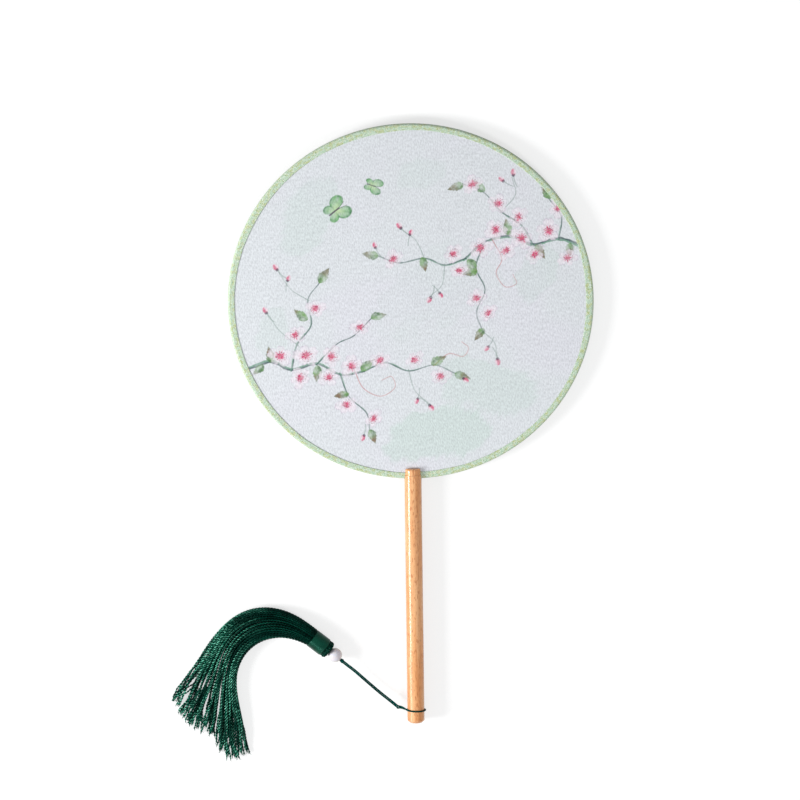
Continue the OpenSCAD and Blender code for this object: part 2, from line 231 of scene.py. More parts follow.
@dataclass
class Surface:
    """Corners and faces of one piece, gathered from several grids before the mesh is made."""

    points: list[Array] = field(default_factory=list)
    faces: list[Array] = field(default_factory=list)
    uvs: list[Array] = field(default_factory=list)
    values: list[Array] = field(default_factory=list)
    count: int = 0

    def add(
        self, points: Array, faces: Array, uv: Array | None = None, value: Array | None = None
    ) -> None:
        """Takes in a part of the surface.

        Args:
            points: Corners, one a row, in millimetres.
            faces: Corner numbers, three or four a row.
            uv: Coordinates of each face's corners, of the shape faces by corners by two.
            value: A number at each corner, kept as the attribute that holds wear and the share of painted
                glints.
        """
        self.points.append(points.reshape(-1, 3))
        self.faces.append(faces + self.count)
        self.uvs.append(np.zeros((*faces.shape, 2)) if uv is None else uv)
        self.values.append(np.zeros(len(self.points[-1])) if value is None else value.ravel())
        self.count += len(self.points[-1])

    def join(self, faces: Array) -> None:
        """Takes in faces between corners that are already numbered."""
        self.faces.append(faces)
        self.uvs.append(np.zeros((*faces.shape, 2)))

    def piece(self, name: str, material: Material, smooth: bool = True) -> Piece:
        """The gathered surface as an object at the origin, with its place in its mesh.

        Args:
            name: Name of the object.
            material: Finish of the whole piece.
            smooth: Whether normals are blended across faces.

        Returns:
            The new object, linked to the scene.
        """
        mesh = bpy.data.meshes.new(name)
        points = np.concatenate(self.points) * MM
        corners = np.concatenate([f.ravel() for f in self.faces]).astype(np.int32)
        sizes = np.concatenate([np.full(len(f), f.shape[1]) for f in self.faces]).astype(np.int32)
        mesh.vertices.add(len(points))
        mesh.vertices.foreach_set("co", points.astype(np.float32).ravel())
        mesh.loops.add(len(corners))
        mesh.loops.foreach_set("vertex_index", corners)
        mesh.polygons.add(len(sizes))
        mesh.polygons.foreach_set("loop_start", np.cumsum(sizes, dtype=np.int32) - sizes)
        mesh.polygons.foreach_set("use_smooth", np.full(len(sizes), smooth))
        mesh.update(calc_edges=True)
        layer = mesh.uv_layers.new(name="surface")
        flat_uv = np.concatenate([u.reshape(-1, 2) for u in self.uvs]).astype(np.float32)
        layer.data.foreach_set("uv", flat_uv.ravel())
        # The attribute holds wear and the share of painted glints on threads.
        wear_and_glint = mesh.attributes.new("wear_and_glint", "FLOAT", "POINT")
        wear_and_glint.data.foreach_set("value", np.concatenate(self.values).astype(np.float32))
        mesh.validate()
        mesh.materials.append(material)
        made = bpy.data.objects.new(name, mesh)
        bpy.context.scene.collection.objects.link(made)
        LOG.info("%s: %d corners, %d faces", name, len(points), len(sizes))
        return made


def settled(piece: Piece, body: str, node: str, slot: Slot) -> Piece:
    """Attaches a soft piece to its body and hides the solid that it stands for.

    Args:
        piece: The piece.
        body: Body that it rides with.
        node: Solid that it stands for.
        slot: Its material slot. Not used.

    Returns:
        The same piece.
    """
    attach(piece, body)
    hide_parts(node)
    return piece


def grid_faces(rows: int, columns: int, closed: bool) -> Array:
    """Four-cornered faces of a grid of points numbered row by row.

    Args:
        rows: Points along the first parameter.
        columns: Points along the second parameter.
        closed: Whether the second parameter comes round to its start.

    Returns:
        Corner numbers, four a row, turning the same way all over.
    """
    i, j = np.meshgrid(np.arange(rows - 1), np.arange(columns if closed else columns - 1), indexing="ij")
    k = (j + 1) % columns
    corners = [i * columns + j, (i + 1) * columns + j, (i + 1) * columns + k, i * columns + k]
    return np.stack(corners, -1).reshape(-1, 4)


def grid_uv(rows: int, columns: int, closed: bool, length: float) -> Array:
    """Coordinates for grid_faces: u is the distance along in millimetres, v the share round.

    Args:
        rows: Points along the first parameter.
        columns: Points along the second parameter.
        closed: Whether the second parameter comes round to its start.
        length: Length along the first parameter.

    Returns:
        Coordinates of each face's corners. Past the closing seam v runs on to 1.
    """
    wide = columns if closed else columns - 1
    i, j = np.meshgrid(np.arange(rows - 1), np.arange(wide), indexing="ij")
    step = length / (rows - 1)
    u = np.stack([i, i + 1, i + 1, i], -1) * step
    v = np.stack([j, j, j + 1, j + 1], -1) / wide
    return np.stack([u, v], -1).reshape(-1, 4, 2)


@dataclass(frozen=True)
class PliedSection:
    """Outline of a cord of round plies laid together, seen across its length.

    Each ply is a circle whose centre lies off the cord's own. The outline at an angle is the far
    side of the nearest circle: offset times cosine, plus the root of the ply's radius squared
    less offset times sine squared.
    """

    plies: int
    ply_offset: float
    ply_radius: float
    points: int
    lay: float

    def outline(self) -> tuple[Array, Array]:
        """Angles round the cord and the outline's distance at each.

        Returns:
            The angles in radians and the distances.
        """
        angle = np.arange(self.points) * 2 * np.pi / self.points
        wedge = 2 * np.pi / self.plies
        from_ply = (angle + wedge / 2) % wedge - wedge / 2
        reach = self.ply_radius**2 - (self.ply_offset * np.sin(from_ply)) ** 2
        return angle, self.ply_offset * np.cos(from_ply) + np.sqrt(np.maximum(reach, 0))

    @property
    def radius(self) -> float:
        """Distance from the cord's centre to the outside of a ply."""
        return self.ply_offset + self.ply_radius


def swept(
    surface: Surface,
    paths: Array,
    section: PliedSection,
    reference: Sequence[float],
    scale: Array | float = 1.0,
    phase: Array | float = 0.0,
    wear_and_glint: Array | None = None,
    round_ends: bool = True,
    lowest: float | None = None,
) -> None:
    """Adds plied cords along paths, with their section turning by the lay.

    A corner is the path's point plus the outline's distance times the cosine of the turned
    angle along the side direction and its sine along the upper one. The side is square to the
    path and to the reference direction.

    Args:
        surface: Where the cords go.
        paths: Centrelines of the shape cords by points by three, in millimetres.
        section: Outline of the cords.
        reference: A direction that no path runs along.
        scale: Size of the section along each path, of the shape cords by points, or one number.
        phase: Turn of each cord at its start, in radians.
        wear_and_glint: The attribute's value along each path, of the shape cords by points.
        round_ends: Whether the section draws in at both ends.
        lowest: Height that no corner goes below.
    """
    cords, count, _ = paths.shape
    ahead = unit(np.gradient(paths, axis=1))
    side = unit(np.cross(np.asarray(reference, float), ahead))
    upper = np.cross(ahead, side)
    step = np.linalg.norm(np.diff(paths, axis=1), axis=2)
    along = np.concatenate([np.zeros((cords, 1)), np.cumsum(step, axis=1)], axis=1)
    size = np.broadcast_to(np.asarray(scale, float), (cords, count)).copy()
    if round_ends:
        near = np.minimum(along, along[:, -1:] - along) / (section.radius * 0.8)
        size *= np.sqrt(np.clip(1 - (1 - np.clip(near, 0, 1)) ** 2, 0.04, 1))
    angle, reach = section.outline()
    twist = 2 * np.pi * along / section.lay + np.reshape(phase, (-1, 1))
    turn = angle[None, None, :] + twist[:, :, None]
    out = size[:, :, None] * reach[None, None, :]
    points = (
        paths[:, :, None, :]
        + (out * np.cos(turn))[..., None] * side[:, :, None, :]
        + (out * np.sin(turn))[..., None] * upper[:, :, None, :]
    )
    if lowest is not None:
        points[..., 2] = np.maximum(points[..., 2], lowest)
    per_cord = count * section.points
    base = (np.arange(cords) * per_cord)[:, None, None]
    faces = (grid_faces(count, section.points, True)[None] + base).reshape(-1, 4)
    uv = np.tile(grid_uv(count, section.points, True, float(along[0, -1])), (cords, 1, 1))
    uv[..., 0] += np.repeat(np.arange(cords) * OWN_STRETCH, len(faces) // cords)[:, None]
    value = None if wear_and_glint is None else np.repeat(wear_and_glint[:, :, None], section.points, axis=2)
    start = surface.count
    surface.add(points, faces[:, ::-1], uv[:, ::-1], value)
    spoke = np.arange(1, section.points - 1)
    fan = np.stack([np.zeros_like(spoke), spoke, spoke + 1], -1)
    last = fan[:, ::-1] + (count - 1) * section.points
    caps = (np.concatenate([fan, last])[None] + base).reshape(-1, 3)
    surface.join(caps + start)


def coil(radius: float, length: float, turns: float, tuck: float, spacing: float) -> Array:
    """Centreline of a coil along X whose last end is tucked towards the axis.

    A point is x along the length, and radius times the cosine and sine of the turn. Over the
    last part of a turn the radius falls by the tuck.

    Args:
        radius: Distance of the centreline from the axis.
        length: Length of the coil along X, centred on the origin.
        turns: Number of turns.
        tuck: How far the last end is drawn inwards.
        spacing: Distance between points.

    Returns:
        Points of the centreline.
    """
    count = max(8, round(2 * math.pi * radius * turns / spacing))
    t = np.linspace(0, 1, count)
    a = 2 * np.pi * turns * t
    r = radius - tuck * ease((t * turns - turns + 0.4) / 0.4)
    return np.stack([mix(-length / 2, length / 2, t), r * np.sin(a), r * np.cos(a)], -1)


# Finishes


class Nodes:
    """The shader nodes of one material, added and joined in short calls."""

    def __init__(self, name: str) -> None:
        """Starts an empty material.

        Args:
            name: Name of the material.
        """
        self.material = bpy.data.materials.new(name)
        self.material.use_nodes = True
        self.tree = self.material.node_tree
        self.tree.nodes.clear()

    def add(
        self, kind: str, inputs: dict[str | int, object] | None = None, **settings: object
    ) -> bpy.types.Node:
        """One node with its settings, values and links.

        Args:
            kind: Type name of the node, without its common prefix.
            inputs: Values or output sockets by the input's name or number.
            settings: Properties of the node.

        Returns:
            The new node.
        """
        made = self.tree.nodes.new("ShaderNode" + kind)
        for key, value in settings.items():
            setattr(made, key, value)
        for key, value in (inputs or {}).items():
            if isinstance(value, Socket):
                self.tree.links.new(value, made.inputs[key])
            elif isinstance(value, tuple) and made.inputs[key].type == "RGBA":
                made.inputs[key].default_value = (*value, 1.0)
            else:
                made.inputs[key].default_value = value
        return made

    def object_point(self, scale: tuple[float, float, float], turn: float = 0.0) -> Socket:
        """Object coordinates, turned about Z and then scaled by three factors per metre.

        Args:
            scale: Factors per metre along X, Y and Z.
            turn: Turn about Z before scaling, in radians.

        Returns:
            The scaled coordinates.
        """
        coordinate = self.add("TexCoord").outputs["Object"]
        inputs = {"Vector": coordinate, "Angle": turn}
        turned_point = self.add("VectorRotate", inputs, rotation_type="Z_AXIS").outputs["Vector"]
        return self.add("Mapping", {"Vector": turned_point, "Scale": scale}).outputs["Vector"]

    def surface_point(self, scale: tuple[float, float, float]) -> Socket:
        """The piece's own coordinates along and across its surface, scaled."""
        coordinate = self.add("UVMap", uv_map="surface").outputs["UV"]
        return self.add("Mapping", {"Vector": coordinate, "Scale": scale}).outputs["Vector"]

    def noise(self, point: Socket, scale: float = 1.0, detail: float = 2.0) -> Socket:
        """Smooth noise from 0 to 1 at a point."""
        return self.add("TexNoise", {"Vector": point, "Scale": scale, "Detail": detail}).outputs["Fac"]

    def maths(self, operation: str, a: object, b: object = 0.0) -> Socket:
        """Result of one operation on two numbers, of which some operations use only the first."""
        return self.add("Math", {0: a, 1: b}, operation=operation).outputs[0]

    def level(
        self, value: Socket, low: float, high: float, to_low: float = 0.0, to_high: float = 1.0
    ) -> Socket:
        """The value carried from one range to another along a smooth rise."""
        inputs = {"Value": value, "From Min": low, "From Max": high, "To Min": to_low, "To Max": to_high}
        return self.add("MapRange", inputs, interpolation_type="SMOOTHSTEP").outputs["Result"]

    def colour(self, share: object, a: object, b: object, blend: str = "MIX") -> Socket:
        """Two colours put together.

        Args:
            share: How much of the second is used.
            a: First colour or socket.
            b: Second colour or socket.
            blend: Way of putting them together.

        Returns:
            The colour's socket.
        """
        made = self.add("Mix", {"Factor": share, 6: a, 7: b}, data_type="RGBA", blend_type=blend)
        return made.outputs[2]

    def tint(
        self, ground: object, paint: Colour, value: Socket, low: float, high: float, most: float = 1.0
    ) -> Socket:
        """A ground that takes on another colour where a value rises.

        Args:
            ground: Colour or socket where the value is low.
            paint: The other colour.
            value: Number that decides.
            low: Where the other colour starts.
            high: Where it is at its strongest.
            most: Its share there.

        Returns:
            The colour's socket.
        """
        return self.colour(self.level(value, low, high, 0.0, most), ground, paint)

    def shaded(self, paint: Socket, tone: Socket) -> Socket:
        """A colour times a tone of grey."""
        grey = self.add("CombineColor", {0: tone, 1: tone, 2: tone}).outputs[0]
        return self.colour(1.0, paint, grey, "MULTIPLY")

    def bump(self, height: Socket, distance: float, strength: float) -> Socket:
        """A normal tilted by a height field whose full depth is a distance in metres."""
        inputs = {"Height": height, "Distance": distance, "Strength": strength}
        return self.add("Bump", inputs).outputs["Normal"]

    def finish(self, **inputs: object) -> Material:
        """Closes the material with one principled shader, its inputs named with underscores.

        Returns:
            The finished material.
        """
        named = {key.replace("_", " "): value for key, value in inputs.items()}
        shader = self.add("BsdfPrincipled", named)
        output = self.add("OutputMaterial")
        self.tree.links.new(shader.outputs[0], output.inputs["Surface"])
        return self.material


def from_screen(red: int, green: int, blue: int) -> Colour:
    """A colour written as it looks on screen, in the renderer's own linear values.

    Each value over 255 is divided by 12.92 below 0.04045, and above it is raised by 0.055,
    divided by 1.055 and taken to the power 2.4.

    Args:
        red: Value from 0 to 255.
        green: Value from 0 to 255.
        blue: Value from 0 to 255.

    Returns:
        The colour.
    """
    values = (red / 255, green / 255, blue / 255)
    return tuple(v / 12.92 if v <= 0.04045 else ((v + 0.055) / 1.055) ** 2.4 for v in values)


@dataclass(frozen=True)
class LacqueredWood:
    """Close-grained pale wood under clear lacquer: bands, fine streaks and short dark flecks."""

    pale: Colour = from_screen(243, 186, 132)
    warm: Colour = from_screen(229, 153, 90)
    fleck: Colour = from_screen(186, 104, 48)
    pore: Colour = from_screen(128, 68, 34)

    def material(self) -> Material:
        """Grain along Y: wide bands, then streaks, then flecks of about 1 by 3 mm, then pores.

        Returns:
            The material.
        """
        n = Nodes("lacquered wood")
        bands = n.noise(n.object_point((210, 14, 210)), detail=3)
        streaks = n.noise(n.object_point((1500, 45, 1500)), detail=3)
        flecks = n.noise(n.object_point((900, 260, 900)), detail=1)
        pores = n.noise(n.object_point((3800, 420, 3800)), detail=1)
        ground = n.tint(self.pale, self.warm, bands, 0.34, 0.68)
        ground = n.tint(ground, self.fleck, streaks, 0.42, 0.76, 0.5)
        ground = n.tint(ground, self.fleck, flecks, 0.56, 0.68, 0.6)
        ground = n.tint(ground, self.pore, pores, 0.62, 0.74, 0.5)
        relief = n.maths("ADD", n.maths("MULTIPLY", pores, -0.5), n.maths("MULTIPLY", streaks, 0.5))
        normal = n.bump(relief, 0.00004, 0.6)
        return n.finish(
            Base_Color=ground,
            Roughness=n.level(streaks, 0.2, 0.8, 0.4, 0.52),
            Normal=normal,
            Specular_IOR_Level=0.3,
            Coat_Weight=0.8,
            Coat_IOR=1.4,
            Coat_Roughness=0.15,
        )


@dataclass(frozen=True)
class WovenSilk:
    """Fine plain-woven silk that takes its colour from the dye painted on it."""

    thread_pitch: float = 0.42

    def material(self, name: str) -> Material:
        """Weave of two crossed waves, with thicker threads here and there along X and Y.

        Args:
            name: Name of the material.

        Returns:
            The finished material.
        """
        n = Nodes(name)
        per_metre = math.pi / (self.thread_pitch * MM)
        split = n.add("SeparateXYZ", {"Vector": n.object_point((per_metre, per_metre, per_metre))})
        crossing = n.maths("MULTIPLY", n.maths("SINE", split.outputs[0]), n.maths("SINE", split.outputs[1]))
        slubs_x = n.noise(n.object_point((60, 1500, 1)), detail=2)
        slubs_y = n.noise(n.object_point((1500, 60, 1)), detail=2)
        slubs = n.maths("ADD", n.level(slubs_x, 0.5, 0.78), n.level(slubs_y, 0.5, 0.78))
        grain = n.noise(n.object_point((1350, 480, 1), -0.19), detail=2)
        shade = n.maths("ADD", n.maths("MULTIPLY", crossing, 0.04), n.maths("MULTIPLY", slubs, -0.08))
        shade = n.maths("ADD", shade, n.level(grain, 0.3, 0.7, 0.87, 1.11))
        dye = n.add("Attribute", attribute_name="dye").outputs["Color"]
        ground = n.shaded(dye, shade)
        relief = n.maths("ADD", n.maths("MULTIPLY", crossing, 0.5), slubs)
        return n.finish(
            Base_Color=ground,
            Roughness=0.58,
            Normal=n.bump(relief, 0.00006, 0.5),
            Specular_IOR_Level=0.3,
            Sheen_Weight=0.08,
            Sheen_Roughness=0.4,
        )


@dataclass(frozen=True)
class Brocade:
    """Narrow brocade tape: mint ground, olive gold and whitish motifs, and a fine metal thread."""

    mint: Colour = from_screen(188, 218, 188)
    gold: Colour = from_screen(186, 200, 132)
    white: Colour = from_screen(250, 250, 244)
    shade: Colour = from_screen(84, 132, 92)

    def material(self) -> Material:
        """Soft patches along the tape under a slanting twill, with dark woven specks, and light specks of
        metal thread whose white is partly a painted glint.

        Returns:
            The material.
        """
        n = Nodes("brocade")
        motif = n.noise(n.surface_point((0.3, 0.42, 1)), 1.0, 3)
        second = n.noise(n.surface_point((0.55, 0.66, 1)), 1.3, 2)
        split = n.add("SeparateXYZ", {"Vector": n.surface_point((1, 1, 1))})
        twill = n.maths("SINE", n.maths("MULTIPLY", n.maths("ADD", split.outputs[0], split.outputs[1]), 5.2))
        specks = n.noise(n.surface_point((1.1, 1.5, 1)), 1.0, 2)
        glint = n.noise(n.surface_point((1.5, 2.0, 1)), 1.3, 1)
        ground = n.tint(self.mint, self.gold, motif, 0.44, 0.62)
        ground = n.tint(ground, self.white, second, 0.54, 0.66, 0.55)
        ground = n.tint(ground, self.shade, specks, 0.5, 0.66, 0.6)
        # Painted glint: near-white laid on the specks of metal thread, which are also smoother there.
        ground = n.tint(ground, self.white, glint, 0.5, 0.64, 0.85)
        dark = n.level(twill, -1, 1, 0.86, 1.04)
        ground = n.shaded(ground, dark)
        relief = n.maths("ADD", n.maths("MULTIPLY", twill, 0.35), n.level(glint, 0.5, 0.7))
        relief = n.maths("ADD", relief, n.level(motif, 0.48, 0.58))
        return n.finish(
            Base_Color=ground,
            Roughness=n.level(glint, 0.5, 0.7, 0.55, 0.25),
            Normal=n.bump(relief, 0.0001, 0.7),
            Sheen_Weight=0.1,
            Sheen_Roughness=0.4,
        )


@dataclass(frozen=True)
class SilkyThread:
    """Dark green twisted thread with a silky sheen, paler where its end is frayed open, with painted sheen
    and painted glints on its ply crests.
    """

    name: str
    deep: Colour = from_screen(0, 13, 11)
    light: Colour = from_screen(0, 58, 46)
    # Painted sheen: a brighter green laid on the ply crests.
    painted_sheen: Colour = from_screen(4, 88, 66)
    frayed: Colour = from_screen(8, 74, 58)
    # Painted glint: pale mint laid in broken dashes on the ply crests.
    painted_glint: Colour = from_screen(138, 238, 204)
    glint: Colour = (0.3, 1.0, 0.8)
    gloss: float = 0.3
    shine: float = 0.08
    crests: float = 2.0

    def material(self) -> Material:
        """Fibres run along each ply: fine stripes round the thread tilt its normal and tone. Painted sheen
        and painted glints brighten the crests of the plies.

        Returns:
            The material.
        """
        n = Nodes(self.name)
        fibre = n.noise(n.surface_point((0.9, 26, 1)), 1.0, 2)
        patchy = n.noise(n.object_point((260, 260, 260)), 1.0, 2)
        own = n.noise(n.surface_point((0.021, 0, 1)), 1.0, 1)
        tone = n.maths("ADD", n.maths("MULTIPLY", fibre, 0.3), n.maths("MULTIPLY", patchy, 0.25))
        tone = n.maths("ADD", tone, n.maths("MULTIPLY", own, 0.45))
        ground = n.tint(self.deep, self.light, tone, 0.38, 0.62)
        wear_and_glint = n.add("Attribute", attribute_name="wear_and_glint").outputs["Fac"]
        wrapped = n.surface_point((1, 2 * math.pi * self.crests, 1))
        around = n.add("SeparateXYZ", {"Vector": wrapped}).outputs[1]
        crest = n.maths("COSINE", around)
        # Share of painted sheen and painted glints. It grows with the attribute that holds wear and glints,
        # and differs from thread to thread.
        loose = n.maths("MULTIPLY", n.level(own, 0.4, 0.58, 0.03, 1), n.level(wear_and_glint, 0.06, 0.46, 0.05, 1.0))
        # Painted sheen on the crests.
        ground = n.colour(n.maths("MULTIPLY", n.level(crest, -0.1, 0.9), loose), ground, self.painted_sheen)
        broken = n.level(n.noise(n.surface_point((0.5, 4, 1)), 1.0, 2), 0.47, 0.55)
        # Painted glints: broken dashes on the crests where that share is high.
        lit = n.maths("MULTIPLY", n.maths("MULTIPLY", n.level(crest, 0.2, 0.8), broken), loose)
        ground = n.colour(lit, ground, self.painted_glint)
        ground = n.tint(ground, self.frayed, wear_and_glint, 0.5, 1, 0.4)
        return n.finish(
            Base_Color=ground,
            Roughness=self.gloss,
            Normal=n.bump(fibre, 0.00005, 0.6),
            IOR=1.36,
            Specular_IOR_Level=self.shine,
            Specular_Tint=self.glint,
        )


@dataclass(frozen=True)
class PearlCoat:
    """Imitation pearl: pale lavender ground under a glossy coat with a thin shimmering film."""

    ground: Colour = from_screen(220, 221, 230)
    warm: Colour = from_screen(226, 219, 220)

    def material(self) -> Material:
        """Soft cloudiness in the coat, and a gloss just short of a mirror.

        Returns:
            The material.
        """
        n = Nodes("pearl coat")
        cloud = n.noise(n.object_point((420, 420, 420)), 1.0, 3)
        ground = n.tint(self.ground, self.warm, cloud, 0.35, 0.65)
        fine = n.noise(n.object_point((2600, 2600, 2600)), 1.0, 2)
        return n.finish(
            Base_Color=ground,
            Roughness=0.28,
            Normal=n.bump(fine, 0.00001, 0.4),
            Specular_IOR_Level=0.2,
            Coat_Weight=0.3,
            Coat_Roughness=0.09,
            Thin_Film_Thickness=420.0,
            Thin_Film_IOR=1.4,
        )


@dataclass(frozen=True)
class DrawnSteel:
    """Drawn steel wire, grey with fine lines along it."""

    dark: Colour = from_screen(176, 178, 182)
    pale: Colour = from_screen(206, 208, 210)

    def material(self) -> Material:
        """Metal whose roughness varies with noise.

        Returns:
            The material.
        """
        n = Nodes("drawn steel")
        lines = n.noise(n.object_point((900, 900, 3000)), 1.0, 2)
        ground = n.colour(lines, self.dark, self.pale)
        return n.finish(Base_Color=ground, Metallic=1.0, Roughness=n.level(lines, 0.3, 0.7, 0.25, 0.42))


# The studio


@dataclass(frozen=True)
class Lamp:
    """Soft rectangular lamp: its direction from the fan, distance and sizes in metres, and watts."""

    name: str
    toward: tuple[float, float, float]
    distance: float
    size: tuple[float, float]
    watts: float
    mirrored: bool = True


@dataclass(frozen=True)
class Studio:
    """Camera with a long lens over the fan, two soft lamps, and a pale floor."""

    tilt: float = 14.2
    roll: float = 0.72
    lens: float = 1500.0
    sensor: float = 36.0
    frame_pixels: float = 800.0
    pixel: float = 0.6997
    aim_pixel: tuple[float, float] = (410.8, 301.7)
    aim: tuple[float, float, float] = (0.0, 88.25, 9.0)
    sky: Colour = (0.97, 0.985, 1.0)
    daylight: float = 0.38
    seen_sky: float = 1.03
    floor_half: float = 9000.0
    floor_tone: float = 0.42
    floor_glow: float = 0.66
    lamps: tuple[Lamp, ...] = (
        Lamp("window lamp", (-0.87, -0.16, 0.46), 1.7, (0.6, 0.5), 30.0),
        Lamp("fill lamp", (0.444, -0.345, 0.825), 1.4, (0.35, 0.35), 4.6, mirrored=False),
    )

    def camera(self) -> Piece:
        """Camera that shows the disc's middle at its place in the picture.

        It stands back from that point along its own axis by field times lens over sensor, and
        is then moved across by the point's distance from the middle of the picture.

        Returns:
            The scene's camera.
        """
        t, r = math.radians(self.tilt), math.radians(self.roll)
        back = np.array([0, math.sin(t), math.cos(t)])
        level_right, level_up = np.array([1.0, 0, 0]), np.array([0, math.cos(t), -math.sin(t)])
        right = math.cos(r) * level_right - math.sin(r) * level_up
        up = math.sin(r) * level_right + math.cos(r) * level_up
        across = (self.aim_pixel[0] - self.frame_pixels / 2) * self.pixel
        above = (self.frame_pixels / 2 - self.aim_pixel[1]) * self.pixel
        distance = self.pixel * self.frame_pixels * self.lens / self.sensor
        place = (np.array(self.aim) - across * right - above * up + distance * back) * MM
        data = bpy.data.cameras.new("studio camera")
        data.lens, data.sensor_width, data.clip_end = self.lens, self.sensor, 60.0
        made = bpy.data.objects.new("studio camera", data)
        bpy.context.scene.collection.objects.link(made)
        axes = np.stack([right, up, back, place], axis=1)
        made.matrix_world = Matrix([*axes.tolist(), [0, 0, 0, 1]])
        bpy.context.scene.camera = made
        return made

    def hang(self, lamp: Lamp) -> None:
        """Hangs a lamp so that it faces the fan's middle.

        Args:
            lamp: The lamp.
        """
        data = bpy.data.lights.new(lamp.name, "AREA")
        data.shape, data.energy = "RECTANGLE", lamp.watts
        data.size, data.size_y = lamp.size
        made = bpy.data.objects.new(lamp.name, data)
        bpy.context.scene.collection.objects.link(made)
        back = unit(np.array(lamp.toward, float))
        right = unit(np.cross([0, 0, 1], back))
        axes = np.stack([right, np.cross(back, right), back, back * lamp.distance], axis=1)
        made.matrix_world = Matrix([*axes.tolist(), [0, 0, 0, 1]])
        made.visible_glossy = lamp.mirrored

    def seen_directly(self, tree: bpy.types.NodeTree) -> Socket:
        """1 for rays from the camera, mirrors and glass, and 0 for the light on surfaces.

        Args:
            tree: Node tree of the world.

        Returns:
            The factor for mixing the two backgrounds.
        """
        path = tree.nodes.new("ShaderNodeLightPath")
        total = path.outputs["Is Camera Ray"]
        for name in ("Is Glossy Ray", "Is Transmission Ray"):
            both = tree.nodes.new("ShaderNodeMath")
            both.operation, both.use_clamp = "ADD", True
            tree.links.new(total, both.inputs[0])
            tree.links.new(path.outputs[name], both.inputs[1])
            total = both.outputs[0]
        return total

    def world(self) -> None:
        """Even pale light from all sides, which the camera sees as white."""
        world = bpy.data.worlds.new("studio")
        bpy.context.scene.world = world
        world.use_nodes = True
        tree = world.node_tree
        sky = tree.nodes["Background"]
        sky.inputs["Color"].default_value = (*self.sky, 1.0)
        strength = tree.nodes.new("ShaderNodeMapRange")
        strength.inputs["To Min"].default_value = self.daylight
        strength.inputs["To Max"].default_value = self.seen_sky
        tree.links.new(self.seen_directly(tree), strength.inputs["Value"])
        tree.links.new(strength.outputs["Result"], sky.inputs["Strength"])

    def floor(self) -> None:
        """Pale matt floor: its own glow, seen directly only, lifts it to white off the shadow."""
        surface = Surface()
        half, tone = self.floor_half, self.floor_tone
        corners = np.array([[-half, -half, 0], [half, -half, 0], [half, half, 0], [-half, half, 0]])
        surface.add(corners, np.array([[0, 1, 2, 3]]))
        n = Nodes("studio floor")
        matt = n.add("BsdfDiffuse", {"Color": (tone, tone, tone)}).outputs[0]
        glow = n.maths("MULTIPLY", self.seen_directly(n.tree), self.floor_glow)
        light = n.add("Emission", {"Color": (1.0, 1.0, 1.0), "Strength": glow}).outputs[0]
        both = n.add("AddShader", {0: matt, 1: light}).outputs[0]
        n.tree.links.new(both, n.add("OutputMaterial").inputs["Surface"])
        surface.piece("studio_floor", n.material, smooth=False)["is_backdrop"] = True

    def build(self) -> None:
        """Camera, lamps, world and floor."""
        bpy.context.scene.view_settings.view_transform = "Standard"
        self.camera()
        for lamp in self.lamps:
            self.hang(lamp)
        self.world()
        self.floor()


# The fan's sub-assemblies


@dataclass(frozen=True)
class FanPlan:
    """Sizes that several sub-assemblies share, in millimetres."""

    disc_radius: float = 128.0
    disc_y: float = 88.25
    axis_z: float = 7.2
    loop_y: float = -205.25
    hitch_out: float = 12.5
    cord_run: float = 58.0
    cord_lie: float = 139.0
    head_lie: float = 141.0
    head_radius: float = 6.7

    @property
    def hitch(self) -> Array:
        """Middle of the hitch knot."""
        return np.array([-self.hitch_out, self.loop_y, self.axis_z])

    @property
    def bead(self) -> Array:
        """Middle of the bead.

        Returns:
            Its coordinates in millimetres.
        """
        a = math.radians(self.cord_lie)
        flat = self.hitch[:2] + self.cord_run * np.array([math.cos(a), math.sin(a)])
        return np.array([*flat, self.head_radius])

    def from_hitch(self, points: Array) -> Array:
        """Points given along the cord, across it and above the hitch, in the fan's frame."""
        return turned(points, self.cord_lie) + self.hitch

    def from_bead(self, points: Array) -> Array:
        """Points given along the tassel's head, across it and above the bead."""
        return turned(points, self.head_lie) + self.bead


